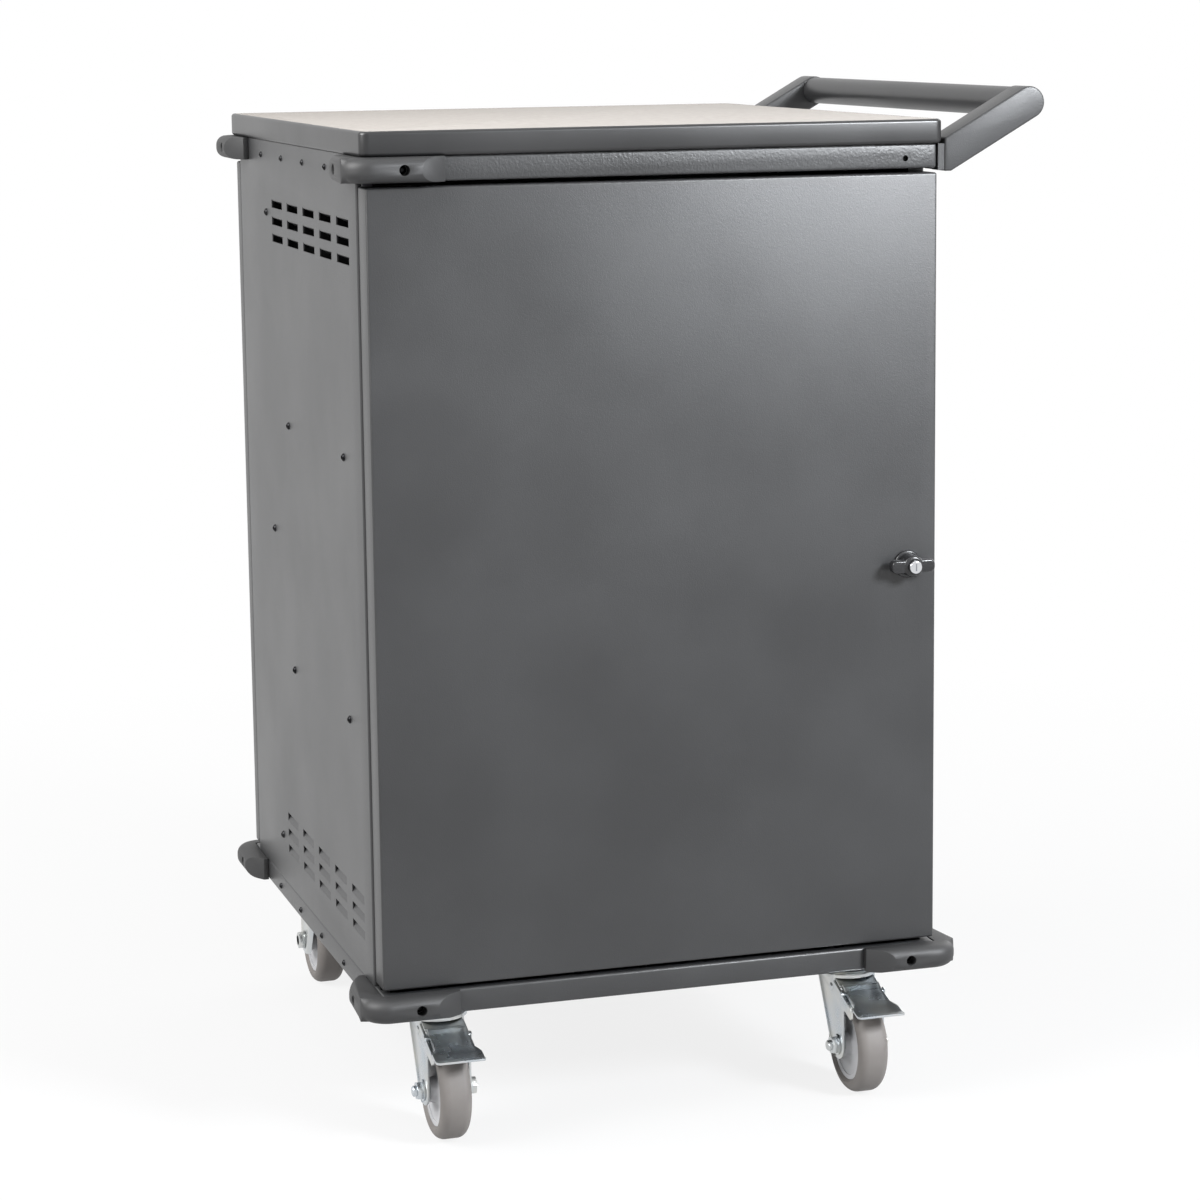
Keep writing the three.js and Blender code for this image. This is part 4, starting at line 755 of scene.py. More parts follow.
# Cabinet screws
# Blackened button-head screws through the side panels: into the top frame and the base tray along
# both edges, into the shelves, and into the partition's flanges.
PANEL_HEAD = (0.0042, 0.0028, 0.0019, 0.0016)
BAND_HEAD = (0.0034, 0.0022, 0.0015, 0.0013)
BAND_INSET_TOP = 0.016
BAND_RISE_BASE = 0.010
BAND_SETBACK = 0.013
BAND_PITCH = 0.105
BAND_COUNT = 4
FLANGE_SETBACK = 0.0105
FLANGE_FOOT = 0.050
FLANGE_SPARE = 0.102
SHELF_RISE = 0.013
SHELF_REAR_INSET = 0.076
SHELF_FRONT_INSET = 0.070
flange_low, flange_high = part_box("rear_partition")
flange_pitch = (flange_high.z - flange_low.z - FLANGE_SPARE) / 2
shelf_low, shelf_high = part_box("shelf_lower")
shelf_levels = [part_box(node)[0].z + SHELF_RISE for node in ("shelf_lower", "shelf_upper")]
panel_points = [
    (flange_low.y + FLANGE_SETBACK, flange_low.z + FLANGE_FOOT + i * flange_pitch) for i in range(3)
]
panel_points += [
    (y, z) for z in shelf_levels for y in (shelf_high.y - SHELF_REAR_INSET, shelf_low.y + SHELF_FRONT_INSET)
]
band_middle = (base_low.y + base_high.y) / 2 + BAND_SETBACK
band_points = [
    (band_middle + offset, z) for z in (frame_high.z - BAND_INSET_TOP, base_low.z + BAND_RISE_BASE)
    for offset in spread(BAND_COUNT, BAND_PITCH)
]
for facing, outside in (("left", base_low.x), ("right", base_high.x)):
    for group, head, points in (("panel", PANEL_HEAD, panel_points), ("band", BAND_HEAD, band_points)):
        screws = repeated(f"{group}_screws_{facing}", screw_head(*head), [(outside, y, z) for y, z in points],
                          FACE_TURNS[facing])
        fitted(screws, black_screw, "cabinet", "powder_coat")

# Push handle
# A round steel tube welded between two flat arms that rise from foot plates on the right side,
# powder coated as one weldment.
ARM_END_RADIUS = 0.016
ARM_FOOT_HEIGHT = 0.0325
ARM_EDGE = 0.002
FOOT_PLATE = 0.0065
FOOT_INSET = 0.0015
FOOT_GAP = 0.0003
TUBE_EDGE = 0.001
for end in ("front", "rear"):
    node = f"handle_arm_{end}"
    low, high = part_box(node)
    tube = (high.x - ARM_END_RADIUS, high.z - ARM_END_RADIUS)
    foot = (low.x + FOOT_PLATE, low.z + ARM_FOOT_HEIGHT)
    run = math.hypot(tube[0] - foot[0], tube[1] - foot[1])
    slope = math.atan2(tube[1] - foot[1], tube[0] - foot[0]) + math.asin(ARM_END_RADIUS / run)
    under = (tube[0] + ARM_END_RADIUS * math.sin(slope), tube[1] - ARM_END_RADIUS * math.cos(slope))
    nose = arc(tube, ARM_END_RADIUS, math.degrees(slope) - 90, math.degrees(slope) + 90, 24)
    outline = [(foot[0], low.z), (under[0] - (under[1] - low.z) / math.tan(slope), low.z), *nose, foot]
    arm = slab([(x, low.y, z) for x, z in outline], (0, high.y - low.y, 0), ARM_EDGE, 4)
    block(arm, (low.x, low.y + FOOT_INSET, low.z + FOOT_INSET),
          (foot[0] + FOOT_INSET, high.y - FOOT_INSET, frame_high.z - FOOT_GAP))
    fitted(made(node + "_formed", arm), powder_fine, "cabinet", "powder_coat", node)
tube_low, tube_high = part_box("handle_tube")
tube_middle = (tube_low + tube_high) / 2
tube_radius, tube_length = (tube_high.z - tube_low.z) / 2, tube_high.y - tube_low.y
tube_shape = turned(bmesh.new(), [
    (0, 0), (tube_radius - TUBE_EDGE, 0), (tube_radius, TUBE_EDGE), (tube_radius, tube_length - TUBE_EDGE),
    (tube_radius - TUBE_EDGE, tube_length), (0, tube_length),
], (tube_middle.x, tube_low.y, tube_middle.z), (0, 1, 0), 64)
fitted(made("handle_tube_drawn", tube_shape), powder_fine, "cabinet", "powder_coat", "handle_tube")

# Doors and their pivot pins
# Each door is one folded pan that hangs on blackened pins at its left corners, where a collar
# carries it clear of the tray.
DOOR_SHEET = 0.0015
DOOR_LIP = 0.013
DOOR_FOLD = 0.0024
LOCK_HOLE_RADIUS = 0.0093
LOCK_HOLE_REACH = 0.004
DOOR_PIVOT_REACH = 0.003
PIN_RADIUS = 0.0035
PIN_CHAMFER = 0.001
PIN_COLLAR_RADIUS = 0.006
PIN_HEAD_RADIUS = 0.0046
PIN_HEAD_HEIGHT = 0.003
PIN_GAP = 0.0003
lock_place = {"front": joint_place["front_knob_turn"], "rear": joint_place["rear_key_turn"]}
for end, open_side in (("front", (0, 1, 0)), ("rear", (0, -1, 0))):
    node = f"{end}_door"
    low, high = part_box(node)
    lock, pivot = lock_place[end], joint_place[f"{end}_door_swing"]
    lock_hole = (LOCK_HOLE_RADIUS, (lock.x, low.y - LOCK_HOLE_REACH, lock.z),
                 (lock.x, high.y + LOCK_HOLE_REACH, lock.z), 32)
    door = drilled(folded_pan(node, open_side, DOOR_LIP, DOOR_SHEET, DOOR_FOLD), lock_hole,
                   *[pivot_hole(pivot, level, DOOR_PIVOT_REACH) for level in (low.z, high.z)])
    fitted(door, powder_fine, node, "powder_coat", node)

pin_seat = -TRAY_SHEET - PIN_GAP
pin_head = pin_seat - PIN_HEAD_HEIGHT
collar_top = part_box("front_door")[0].z - base_high.z - PIN_GAP
for end in ("front", "rear"):
    pivot = joint_place[f"{end}_door_swing"]
    for place, level, up in (("bottom", base_high.z, 1), ("top", frame_low.z, -1)):
        node = f"{end}_pivot_pin_{place}"
        low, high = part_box(node)
        tip = high.z - low.z + pin_head
        shape = turned(bmesh.new(), [
            (0, pin_head), (PIN_HEAD_RADIUS, pin_head), (PIN_HEAD_RADIUS, pin_seat), (PIN_RADIUS, pin_seat),
            (PIN_RADIUS, PIN_GAP), (PIN_COLLAR_RADIUS, PIN_GAP), (PIN_COLLAR_RADIUS, collar_top),
            (PIN_RADIUS, collar_top), (PIN_RADIUS, tip - PIN_CHAMFER), (PIN_RADIUS - PIN_CHAMFER, tip),
            (0, tip),
        ], (pivot.x, pivot.y, level), (0, 0, up), 24)
        fitted(made(node + "_turned", shape), black_screw, "cabinet", "zinc", node)

# Locks
# The front lock is a black moulded wing knob round a chromed key cylinder; the rear one is a plain
# chromed cam lock. Each turns a flat plated cam behind the cabinet's flange.
LOCK_FLANGE_RADIUS = 0.014
LOCK_FLANGE_HEIGHT = 0.004
LOCK_FLANGE_ROUND = 0.002
LOCK_BARREL_RADIUS = 0.009
LOCK_BARREL_LENGTH = 0.019
LOCK_SHAFT_RADIUS = 0.005
LOCK_GAP = 0.0003
LOCK_SIDES = 40
KEY_PLUG_RADIUS = 0.0065
KEY_PLUG_NOSE = 0.0012
KEY_SLOT = (0.0016, 0.0075, 0.003)
KEY_SLOT_LEAD = 0.002
KNOB_HUB_RADIUS = 0.011
KNOB_HUB_HEIGHT = 0.016
KNOB_HUB_ROUND = 0.003
WING_SIZE = (0.046, 0.013)
WING_CORNER = 0.005
WING_DEPTH = 0.011
WING_SINK = 0.001
WING_EDGE = 0.002
CAM_RADIUS = 0.008
CAM_EDGE = 0.0005
CAM_HOLE_REACH = 0.001
OUTWARD = {"front": -1, "rear": 1}
DOOR_FACE = {"front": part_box("front_door")[0].y, "rear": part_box("rear_door")[1].y}
chrome = grained_material(
    "chrome", (0.62, 0.63, 0.65), (0.72, 0.73, 0.75), (0.08, 0.14), 600, 0.00002, 30.0, METAL,
)
gloss_black = grained_material(
    "moulded black", (0.008, 0.008, 0.009), (0.013, 0.013, 0.014), (0.18, 0.28), 1500, 0.00005,
)


def on_lock(end, profile):
    """A profile turned about a lock's axis, its heights outward from the door's face."""
    place = (lock_place[end].x, DOOR_FACE[end], lock_place[end].z)
    return turned(bmesh.new(), profile, place, (0, OUTWARD[end], 0), LOCK_SIDES)


def lock_body(end, bore):
    """The flanged bush that clamps the lock in the door."""
    rim = arc((LOCK_FLANGE_RADIUS - LOCK_FLANGE_ROUND, LOCK_FLANGE_HEIGHT - LOCK_FLANGE_ROUND),
              LOCK_FLANGE_ROUND, 0, 90, 6)
    foot = -LOCK_BARREL_LENGTH
    shape = on_lock(end, [
        (bore, foot), (LOCK_BARREL_RADIUS, foot), (LOCK_BARREL_RADIUS, LOCK_GAP),
        (LOCK_FLANGE_RADIUS, LOCK_GAP), *rim, (bore, LOCK_FLANGE_HEIGHT), (bore, foot),
    ])
    welded(shape)
    return made(f"{end}_lock_body_turned", shape)


def key_plug(end, foot, face, shaft=()):
    """A round plug with a keyway in its end, between two heights from the door's face."""
    nose = arc((KEY_PLUG_RADIUS - KEY_PLUG_NOSE, face - KEY_PLUG_NOSE), KEY_PLUG_NOSE, 0, 90, 4)
    shape = on_lock(end, [(0, foot), *(shaft or [(KEY_PLUG_RADIUS, foot)]), *nose, (0, face)])
    lock = lock_place[end]
    width, length, depth = KEY_SLOT
    ends = sorted(DOOR_FACE[end] + OUTWARD[end] * height for height in (face - depth, face + KEY_SLOT_LEAD))
    slot = bmesh.new()
    block(slot, (lock.x - width / 2, ends[0], lock.z - length / 2),
          (lock.x + width / 2, ends[1], lock.z + length / 2))
    return cut(made(f"{end}_lock_plug_turned", shape), slot)


fitted(lock_body("front", LOCK_SHAFT_RADIUS + LOCK_GAP), gloss_black, "front_door", "black_plastic",
       "front_lock_body")
fitted(lock_body("rear", KEY_PLUG_RADIUS + LOCK_GAP), chrome, "rear_door", "chrome", "rear_lock_body")

lock = lock_place["front"]
knob_foot = DOOR_FACE["front"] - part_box("front_lock_knob")[1].y
knob_base = LOCK_FLANGE_HEIGHT + LOCK_GAP
knob_top = knob_base + KNOB_HUB_HEIGHT
crown = arc((KNOB_HUB_RADIUS - KNOB_HUB_ROUND, knob_top - KNOB_HUB_ROUND), KNOB_HUB_ROUND, 0, 90, 6)
hub = on_lock("front", [
    (0, knob_foot), (LOCK_SHAFT_RADIUS, knob_foot), (LOCK_SHAFT_RADIUS, knob_base),
    (KNOB_HUB_RADIUS, knob_base), *crown, (0, knob_top),
])
wing_face = DOOR_FACE["front"] - knob_top + WING_SINK
wing_outline = rounded_rectangle(*WING_SIZE, WING_CORNER, 6, (lock.x, lock.z))
wing = slab([(x, wing_face, z) for x, z in wing_outline], (0, WING_DEPTH, 0), WING_EDGE, 4)
plug_low, plug_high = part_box("front_lock_plug")
plug_bore = (KEY_PLUG_RADIUS + LOCK_GAP, (lock.x, plug_high.y + LOCK_GAP, lock.z),
             (lock.x, plug_low.y - KNOB_HUB_HEIGHT, lock.z), LOCK_SIDES)
knob = bmesh.new()
for shape in (hub, wing):
    knob.from_mesh(mesh_of(drilled(made("knob_blank", shape), plug_bore)))
fitted(made("front_lock_knob_moulded", knob), gloss_black, "front_knob", "black_plastic", "front_lock_knob")
front_plug = key_plug("front", DOOR_FACE["front"] - plug_high.y, DOOR_FACE["front"] - plug_low.y)
fitted(front_plug, chrome, "front_key", "chrome", "front_lock_plug")

rear_low, rear_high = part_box("rear_lock_plug")
rear_foot = rear_low.y - DOOR_FACE["rear"]
rear_plug = key_plug("rear", rear_foot, rear_high.y - DOOR_FACE["rear"], [
    (LOCK_SHAFT_RADIUS, rear_foot), (LOCK_SHAFT_RADIUS, -LOCK_BARREL_LENGTH),
    (KEY_PLUG_RADIUS, -LOCK_BARREL_LENGTH),
])
fitted(rear_plug, chrome, "rear_key", "chrome", "rear_lock_plug")

for end, body in (("front", "front_knob"), ("rear", "rear_key")):
    node = f"{end}_lock_cam"
    low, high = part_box(node)
    lock = lock_place[end]
    outline = arc((lock.x, lock.z), CAM_RADIUS, 0, 180, 16)
    outline += arc((lock.x, low.z + CAM_RADIUS), CAM_RADIUS, 180, 360, 16)
    cam = slab([(x, low.y, z) for x, z in outline], (0, high.y - low.y, 0), CAM_EDGE)
    hole = (LOCK_SHAFT_RADIUS + LOCK_GAP, (lock.x, low.y - CAM_HOLE_REACH, lock.z),
            (lock.x, high.y + CAM_HOLE_REACH, lock.z))
    fitted(drilled(made(node + "_stamped", cam), hole), zinc, body, "zinc", node)

# Casters
# Pressed and zinc-plated swivel casters bolted under the base tray: a plate with its ball race and
# kingpin, a fork, an axle bolt, and a pale moulded hub in a grey non-marking tyre. The front pair
# has brake pedals. Each is shaped about its swivel's axis, with its trail toward -Y.
PLATE_CORNER = 0.008
PLATE_SHEET = 0.003
PLATE_EDGE = 0.0006
RACE_RADIUS = 0.028
RACE_HEIGHT = 0.0095
RACE_ROUND = 0.004
RACE_SINK = 0.001
KINGPIN_RADIUS = 0.006
KINGPIN_HEAD_RADIUS = 0.010
KINGPIN_HEAD_HEIGHT = 0.005
KINGPIN_CHAMFER = 0.002
CROWN_RADIUS = 0.031
CROWN_HEIGHT = 0.006
FORK_GAP = 0.040
FORK_SHEET = 0.003
FORK_OUTSIDE = FORK_GAP / 2 + FORK_SHEET
FORK_REAR = 0.021
FORK_FRONT = 0.022
FORK_BOSS = 0.015
FORK_SINK = 0.002
FORK_EDGE = 0.0008
ROLL_RADIUS = 0.005
ROLL_INSET = 0.0002
ROLL_SHEET = 0.002
ROLL_SINK = 0.003
ROLL_REACH = 7
CHEEK_FRONT = 0.070
CHEEK_TOP = 0.099
CHEEK_FOOT = 0.086
CHEEK_FOOT_CORNER = 0.002
CHEEK_TOP_CORNER = 0.003
ARCH_RADIUS = 0.006
ARCH_TOP = 0.091
APRON_ROOT = 0.013
APRON_REACH = 0.034
APRON_DROP = 0.005
APRON_LAP = 0.001
RIVET_RADIUS = 0.0040
RIVET_HEIGHT = 0.0018
RIVET_PLACE = (-0.016, 0.1075)
AXLE_RADIUS = 0.0055
AXLE_CHAMFER = 0.001
AXLE_STUB = 0.004
AXLE_SIDES = 28
HEX_RADIUS = 0.0095
HEX_HEIGHT = 0.007
HEX_EDGE = 0.0008
WASHER_RADIUS = 0.01064
WASHER_HEIGHT = 0.0012
HUB_RADIUS = 0.012
HUB_HALF = 0.019
HUB_CHAMFER = 0.001
HUB_FILLET = ((0.001, 0.002), (0.004, 0))
WEB_HALF = 0.010
RIM_HALF = 0.013
RIM_DEPTH = 0.005
RIM_FILLET = (0.003, 0.0015)
RIM_CHAMFER = 0.0005
TYRE_DEPTH = 0.013
TREAD_HALF = 0.016
TREAD_ROUND = 0.010
TYRE_LIP = ((0, 0.003), (0.0008, 0.002))
PEDAL_SHEET = 0.0025
PEDAL_EDGE = 0.0006
PEDAL_HALF = 0.0197
PEDAL_ROOT = (0.036, 0.113)
PEDAL_SLOPE = 0.015 / 0.058
# From root to toe: the reach from the swivel's axis, half the width, and the lift off a plain slope.
PEDAL_STATIONS = (
    (0.036, 0.0197, 0), (0.038, 0.0197, 0.0022), (0.0405, 0.0197, 0.00286), (0.043, 0.0197, 0.0022),
    (0.046, 0.0197, 0.0002), (0.049, 0.0197, 0), (0.0714, 0.0197, 0), (0.078, 0.0234, 0),
    (0.082, 0.025, 0), (0.092, 0.025, 0), (0.095, 0.025, 0.0006), (0.098, 0.0246, 0.0019),
    (0.1008, 0.0236, 0.0031), (0.102, 0.022, 0.0033),
)
PEDAL_SIDE_DROP = 0.008
PEDAL_SIDE_LENGTH = 0.032
PEDAL_PIN_RADIUS = 0.0025
PEDAL_PIN_DOME = (0.8, 0.7)
UP, ALONG_AXLE = (0, 0, 1), (1, 0, 0)
tyre_grey = grained_material(
    "grey tyre", (0.125, 0.114, 0.107), (0.150, 0.138, 0.129), (0.55, 0.68), 900, 0.0001, 22.0,
)
hub_grey = grained_material("pale hub", (0.36, 0.36, 0.37), (0.42, 0.42, 0.43), (0.38, 0.48), 1200, 0.00006)


def caster_plate(low, high):
    """The top plate with its ball race and the kingpin."""
    size, race_top = high - low, high.z - PLATE_SHEET
    race_foot, head_top = race_top - RACE_HEIGHT, low.z + KINGPIN_HEAD_HEIGHT
    outline = rounded_rectangle(size.x, size.y, PLATE_CORNER, 6)
    rim = arc((RACE_RADIUS - RACE_ROUND, race_foot + RACE_ROUND), RACE_ROUND, 0, -90, 6)
    plate = slab([(x, y, race_top) for x, y in outline], (0, 0, PLATE_SHEET), PLATE_EDGE)
    return turned(plate, [
        (0, race_top + RACE_SINK), (RACE_RADIUS, race_top + RACE_SINK), *rim, (KINGPIN_RADIUS, race_foot),
        (KINGPIN_RADIUS, head_top), (KINGPIN_HEAD_RADIUS, head_top),
        (KINGPIN_HEAD_RADIUS - KINGPIN_CHAMFER, low.z), (0, low.z),
    ], (0, 0, 0), UP, 48)


def rolled_edge(outline, hand):
    """A leg's rear edge, rolled outward and fading toward the boss."""
    points = [Vector((0, y, z)) for y, z in outline]
    rows = []
    for k, point in enumerate(points):
        run = points[min(k + 1, len(points) - 1)] - points[max(k - 1, 0)]
        back = Vector((0, -run.z, run.y)).normalized()
        fade = 1 - max(0, k - 2) / (len(points) - 2)
        rows.append([
            point + Vector((hand * (FORK_OUTSIDE - ROLL_RADIUS + x), 0, 0)) + back * y * fade
            for x, y in arc((0, 0), ROLL_RADIUS - ROLL_INSET, 0, 85, 6)
        ])
    roll = bmesh.new()
    strip_faces(roll, rows)
    return mesh_of(settled(walled(made("roll", roll), ROLL_SHEET, 0)))


def caster_fork(top, axle):
    """A crown, two legs that reach forward as cheeks, and the apron between them."""
    crown_low, bore = top - CROWN_HEIGHT, KINGPIN_RADIUS + LOCK_GAP
    shoulder = crown_low - FORK_SHEET
    crown_rim = arc((CROWN_RADIUS - RACE_ROUND, top - RACE_ROUND), RACE_ROUND, 0, 90, 6)
    crown = [(bore, crown_low), (CROWN_RADIUS, crown_low), *crown_rim, (bore, top), (bore, crown_low)]
    fork = turned(bmesh.new(), crown, (0, 0, 0), UP, 48)
    welded(fork)
    reach = math.hypot(FORK_REAR - axle.y, shoulder - axle.z)
    rear_turn = math.atan2(shoulder - axle.z, FORK_REAR - axle.y) - math.acos(FORK_BOSS / reach)
    boss = arc((axle.y, axle.z), FORK_BOSS, math.degrees(rear_turn), -180, 24)
    arch = arc((axle.y - FORK_BOSS - ARCH_RADIUS, ARCH_TOP - ARCH_RADIUS), ARCH_RADIUS, 0, 90, 8)
    leg = [
        (FORK_REAR, top - FORK_SINK), (FORK_REAR, shoulder), *boss, *arch,
        (-CHEEK_FRONT + CHEEK_FOOT_CORNER, CHEEK_FOOT), (-CHEEK_FRONT, CHEEK_FOOT + CHEEK_FOOT_CORNER),
        (-CHEEK_FRONT, CHEEK_TOP - CHEEK_TOP_CORNER), (-CHEEK_FRONT + CHEEK_TOP_CORNER, CHEEK_TOP),
        (-FORK_FRONT, shoulder), (-FORK_FRONT, top - FORK_SINK),
    ]
    rear_edge = [(FORK_REAR, top - ROLL_SINK), (FORK_REAR, shoulder), *boss[:ROLL_REACH]]
    rivet = [
        (radius, height * RIVET_HEIGHT / RIVET_RADIUS)
        for radius, height in arc((0, 0), RIVET_RADIUS, 0, 90, 6)[:-1]
    ]
    for hand in (-1, 1):
        side = slab([(hand * FORK_GAP / 2, y, z) for y, z in leg], (hand * FORK_SHEET, 0, 0), FORK_EDGE)
        fork.from_mesh(mesh_from(side, "leg"))
        fork.from_mesh(rolled_edge(rear_edge, hand))
        turned(fork, [(0, 0), *rivet, (0, RIVET_HEIGHT)], (hand * FORK_OUTSIDE, *RIVET_PLACE),
               (hand, 0, 0), 20)
    apron_foot = crown_low - APRON_DROP
    apron_points = [
        (-APRON_ROOT, crown_low + APRON_LAP), (-FORK_FRONT, crown_low), (-APRON_REACH, apron_foot),
        (-APRON_REACH, apron_foot - FORK_SHEET), (-FORK_FRONT, shoulder),
    ]
    apron_half = FORK_GAP / 2 + APRON_LAP
    apron = slab([(-apron_half, y, z) for y, z in apron_points], (2 * apron_half, 0, 0), FORK_EDGE, angle=30)
    fork.from_mesh(mesh_from(apron, "apron"))
    return fork


def axle_bolt(axle):
    """The axle bolt with a washer and a hexagon at each side, and its thread past the nut."""
    hex_start = FORK_OUTSIDE + LOCK_GAP
    hex_end = hex_start + HEX_HEIGHT
    stub = hex_end + AXLE_STUB
    bolt = turned(bmesh.new(), [
        (0, -stub), (AXLE_RADIUS - AXLE_CHAMFER, -stub), (AXLE_RADIUS, -stub + AXLE_CHAMFER),
        (AXLE_RADIUS, hex_end), (0, hex_end),
    ], axle, ALONG_AXLE, AXLE_SIDES)
    for washer, nut in ((hex_start, hex_start), (-hex_start - WASHER_HEIGHT, -hex_end)):
        turned(bolt, disc(WASHER_RADIUS, washer, WASHER_HEIGHT), axle, ALONG_AXLE, AXLE_SIDES)
        hexagon = turned(bmesh.new(), disc(HEX_RADIUS, nut, HEX_HEIGHT), axle, ALONG_AXLE, 6)
        softened(hexagon, HEX_EDGE)
        bolt.from_mesh(mesh_from(hexagon, "hexagon"))
    return bolt


def wheel_ring(half, axle, sides):
    """A closed ring whose (radius, across) profile is the same on both sides of the wheel."""
    profile = [*half, *[(radius, -across) for radius, across in reversed(half)], half[0]]
    ring = turned(bmesh.new(), profile, axle, ALONG_AXLE, sides)
    welded(ring)
    return ring


def wheel_hub(axle):
    bead = axle.z - TYRE_DEPTH
    rim = bead - RIM_DEPTH
    return wheel_ring([
        (AXLE_RADIUS + LOCK_GAP, HUB_HALF), (HUB_RADIUS - HUB_CHAMFER, HUB_HALF),
        (HUB_RADIUS, HUB_HALF - HUB_CHAMFER), *[(HUB_RADIUS + out, WEB_HALF + up) for out, up in HUB_FILLET],
        (rim - RIM_FILLET[0], WEB_HALF), (rim, WEB_HALF + RIM_FILLET[1]), (rim, RIM_HALF - RIM_CHAMFER),
        (rim + RIM_CHAMFER, RIM_HALF), (bead - LOCK_GAP, RIM_HALF),
    ], axle, 72)


def wheel_tyre(axle):
    bead = axle.z - TYRE_DEPTH
    tread = arc((TREAD_HALF - TREAD_ROUND, axle.z - TREAD_ROUND), TREAD_ROUND, 0, 86, 8)
    return wheel_ring([
        *[(bead + out, TREAD_HALF - inset) for out, inset in TYRE_LIP],
        *[(radius, across) for across, radius in tread],
    ], axle, 96)


def brake_pedal(pin):
    """A pressed tread with a rolled root and a flared toe, and two sides with pivot pins."""
    root, root_top = PEDAL_ROOT
    rows = []
    for reach, half, lift in PEDAL_STATIONS:
        height = root_top - PEDAL_SLOPE * (reach - root) + lift
        rows.append([(half * k / 4, -reach, height) for k in range(-4, 5)])
    sheet = bmesh.new()
    strip_faces(sheet, rows)
    tread = made("pedal", sheet)
    walled(tread, PEDAL_SHEET, -1 if tread.data.polygons[0].normal.z > 0 else 1)
    pedal = bmesh.new()
    pedal.from_mesh(mesh_of(settled(edged(tread, PEDAL_EDGE, 50))))
    side_top = root_top - PEDAL_SHEET / 2
    toe_top = side_top - PEDAL_SLOPE * PEDAL_SIDE_LENGTH
    outline = [
        (-root, side_top), (-root, side_top - PEDAL_SIDE_DROP),
        (-root - PEDAL_SIDE_LENGTH, toe_top - PEDAL_SIDE_DROP), (-root - PEDAL_SIDE_LENGTH, toe_top),
    ]
    inside = PEDAL_HALF - PEDAL_SHEET
    neck = FORK_OUTSIDE - inside
    dome = (RIVET_RADIUS * PEDAL_PIN_DOME[0], neck + RIVET_HEIGHT * PEDAL_PIN_DOME[1])
    for hand in (-1, 1):
        side = slab([(hand * PEDAL_HALF, y, z) for y, z in outline], (-hand * PEDAL_SHEET, 0, 0), PEDAL_EDGE)
        pedal.from_mesh(mesh_from(side, "side"))
        turned(pedal, [
            (0, 0), (PEDAL_PIN_RADIUS, 0), (PEDAL_PIN_RADIUS, neck), (RIVET_RADIUS, neck), dome,
            (0, neck + RIVET_HEIGHT),
        ], (hand * inside, pin.y, pin.z), (hand, 0, 0), 20)
    return pedal


for end in ("front", "rear"):
    for side in ("left", "right"):
        caster = f"caster_{end}_{side}"
        swivel, wheel = joint_place[caster + "_turn"], joint_place[caster + "_roll"]
        axle = Vector((0, -abs(wheel.y - swivel.y), wheel.z))
        fork_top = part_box(caster + "_fork")[1].z
        parts = [
            ("plate", "pressed", caster_plate(*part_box(caster + "_plate")), zinc, "cabinet", "zinc"),
            ("fork", "pressed", caster_fork(fork_top, axle), zinc, caster + "_swivel", "zinc"),
            ("axle", "bolt", axle_bolt(axle), zinc, caster + "_swivel", "zinc"),
            ("hub", "moulded", wheel_hub(axle), hub_grey, caster + "_wheel", "pale_hub"),
            ("tyre", "moulded", wheel_tyre(axle), tyre_grey, caster + "_wheel", "grey_tyre"),
        ]
        if end == "front":
            pin = joint_place[caster + "_brake_press"] - Vector((swivel.x, swivel.y, 0))
            parts.append(("pedal", "pressed", brake_pedal(pin), zinc, caster + "_brake", "zinc"))
        facing = Matrix.Rotation(0 if end == "front" else math.pi, 4, "Z")
        place = Matrix.Translation((swivel.x, swivel.y, 0)) @ facing
        for part, making, shape, material, body, slot in parts:
            shape.transform(place)
            fitted(made(f"{caster}_{part}_{making}", shape), material, body, slot, f"{caster}_{part}")

# Caster bolts
# Four blackened button-head bolts hold each caster's plate to the base tray.
BOLT_HEAD = (0.0068, 0.0045, 0.0028, 0.0025)
BOLT_INSET = 0.011
bolt_places = []
for end in ("front", "rear"):
    for side in ("left", "right"):
        low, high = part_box(f"caster_{end}_{side}_plate")
        bolt_places += [
            (x, y, high.z - PLATE_SHEET)
            for x in (low.x + BOLT_INSET, high.x - BOLT_INSET)
            for y in (low.y + BOLT_INSET, high.y - BOLT_INSET)
        ]
plate_bolts = repeated("caster_bolts", screw_head(*BOLT_HEAD), bolt_places, FACE_TURNS["down"])
fitted(plate_bolts, black_screw, "cabinet", "zinc")

# Floor and light
# A plain white sweep that polished faces mirror, under broad soft lights: one at the left, one
# behind, one at the right that shines in the door, and an even overhead light.
FLOOR_SIZE = 60
FLOOR_TONE = (0.5, 0.5, 0.5, 1)
FLOOR_ROUGHNESS = 0.9
LIGHTS = (
    ("left_softbox", (-3.0, -0.6, 2.5), 2.2, 200, (1, 1, 1)),
    ("rear_softbox", (3.4, 2.4, 2.0), 2.4, 60, (1, 1, 1)),
    ("right_softbox", (1.75, -2.7, 1.95), 0.8, 215, (0.93, 0.96, 1)),
)
LIGHT_TARGET = Vector((0, 0, 0.55))
SHADOW_REACH = (0.6, 2.0)
SHADOW_WHITE = (0.84, 1.0)
AMBIENT = 0.3
OVERHEAD = 0.9
OVERHEAD_SPREAD = math.radians(80)


def seen_or_mirrored(tree):
    """One for what the camera sees directly or in a mirroring face, and zero for all other light."""
    path = tree.nodes.new("ShaderNodeLightPath")
    either = tree.nodes.new("ShaderNodeMath")
    either.operation = "MAXIMUM"
    wired(tree, (path, "Is Camera Ray", either, 0), (path, "Is Glossy Ray", either, 1))
    return either


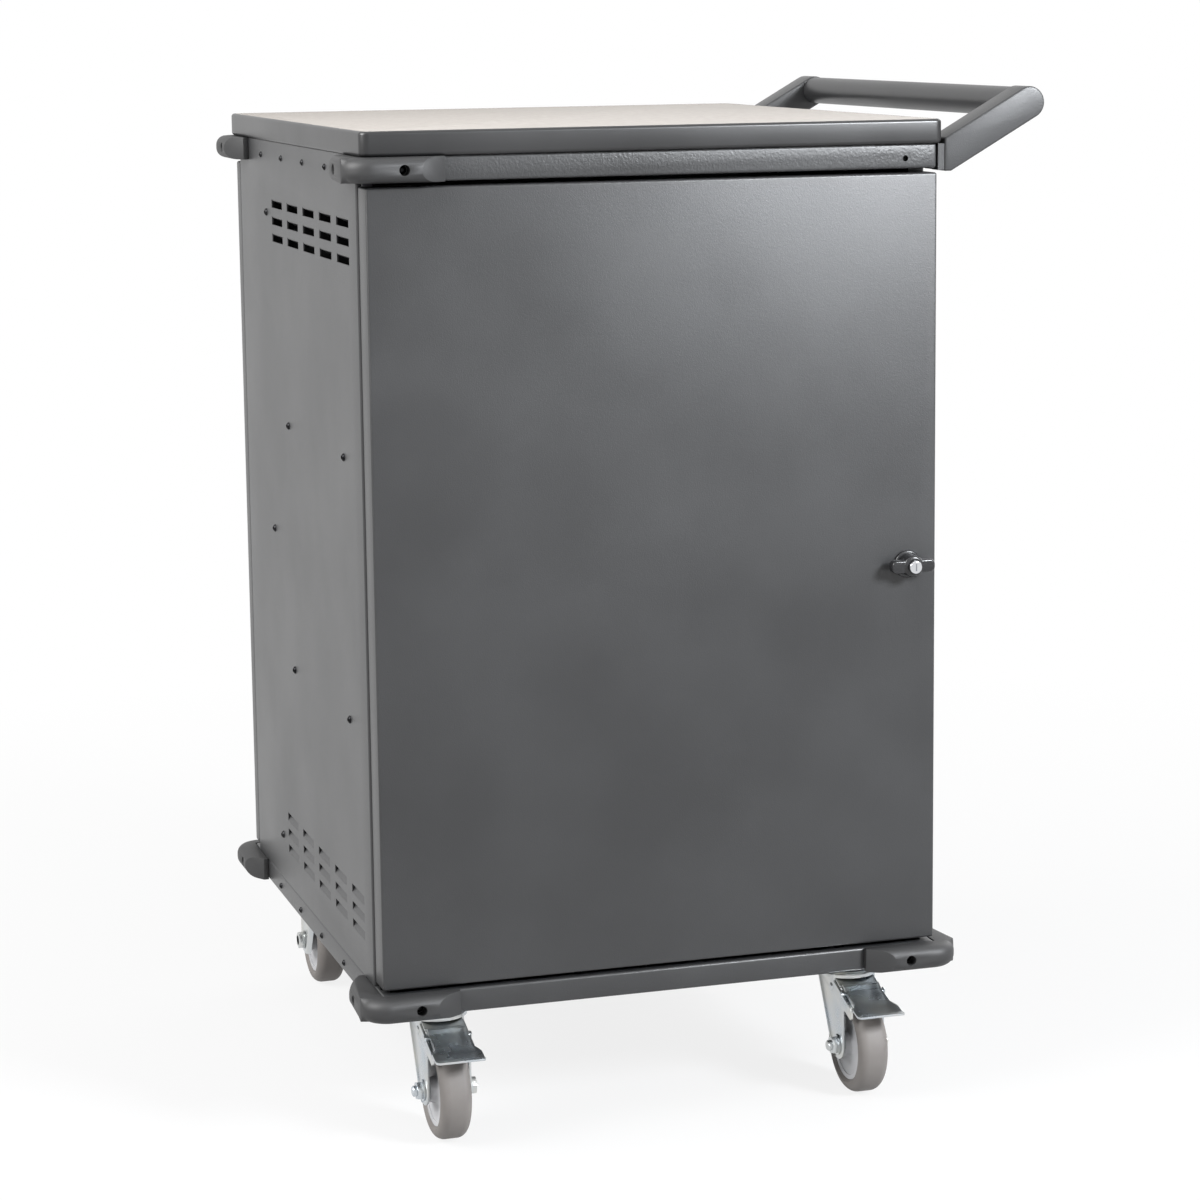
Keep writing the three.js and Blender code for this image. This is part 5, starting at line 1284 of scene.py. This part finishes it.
def floor_finish():
    """White for the camera and in mirroring faces, with the cart's own soft shadow kept on it."""
    material = bpy.data.materials.new("white floor")
    material.use_nodes = True
    nodes = material.node_tree.nodes
    shader = nodes["Principled BSDF"]
    shader.inputs["Base Color"].default_value = FLOOR_TONE
    shader.inputs["Roughness"].default_value = FLOOR_ROUGHNESS
    shader.inputs["Specular IOR Level"].default_value = 0
    white = nodes.new("ShaderNodeEmission")
    place = nodes.new("ShaderNodeTexCoord")
    reach = nodes.new("ShaderNodeVectorMath")
    reach.operation = "LENGTH"
    fade = ranged(nodes, SHADOW_REACH, SHADOW_WHITE)
    share = nodes.new("ShaderNodeMath")
    share.operation = "MULTIPLY"
    mix = nodes.new("ShaderNodeMixShader")
    wired(material.node_tree, (place, "Object", reach, 0), (reach, "Value", fade, "Value"),
          (seen_or_mirrored(material.node_tree), "Value", share, 0), (fade, "Result", share, 1),
          (share, "Value", mix, "Fac"), (shader, "BSDF", mix, 1), (white, "Emission", mix, 2),
          (mix, "Shader", nodes["Material Output"], "Surface"))
    return material


floor_shape = bmesh.new()
bmesh.ops.create_grid(floor_shape, x_segments=1, y_segments=1, size=FLOOR_SIZE)
floor = made("floor", floor_shape)
floor.data.materials.append(floor_finish())
for name, place, size, power, tint in LIGHTS:
    lamp = bpy.data.lights.new(name, "AREA")
    lamp.size = size
    lamp.energy = power
    lamp.color = tint
    softbox = bpy.data.objects.new(name, lamp)
    softbox.location = place
    softbox.visible_camera = False
    softbox.rotation_mode = "QUATERNION"
    softbox.rotation_quaternion = (LIGHT_TARGET - Vector(place)).to_track_quat("-Z", "Y")
    scene.collection.objects.link(softbox)
overhead = bpy.data.lights.new("overhead", "SUN")
overhead.energy = OVERHEAD
overhead.angle = OVERHEAD_SPREAD
scene.collection.objects.link(bpy.data.objects.new("overhead", overhead))

world = bpy.data.worlds.new("studio")
scene.world = world
world.use_nodes = True
background = world.node_tree.nodes["Background"]
background.inputs["Color"].default_value = (1, 1, 1, 1)
strength = ranged(world.node_tree.nodes, (0, 1), (AMBIENT, 1))
wired(world.node_tree, (seen_or_mirrored(world.node_tree), "Value", strength, "Value"),
      (strength, "Result", background, "Strength"))
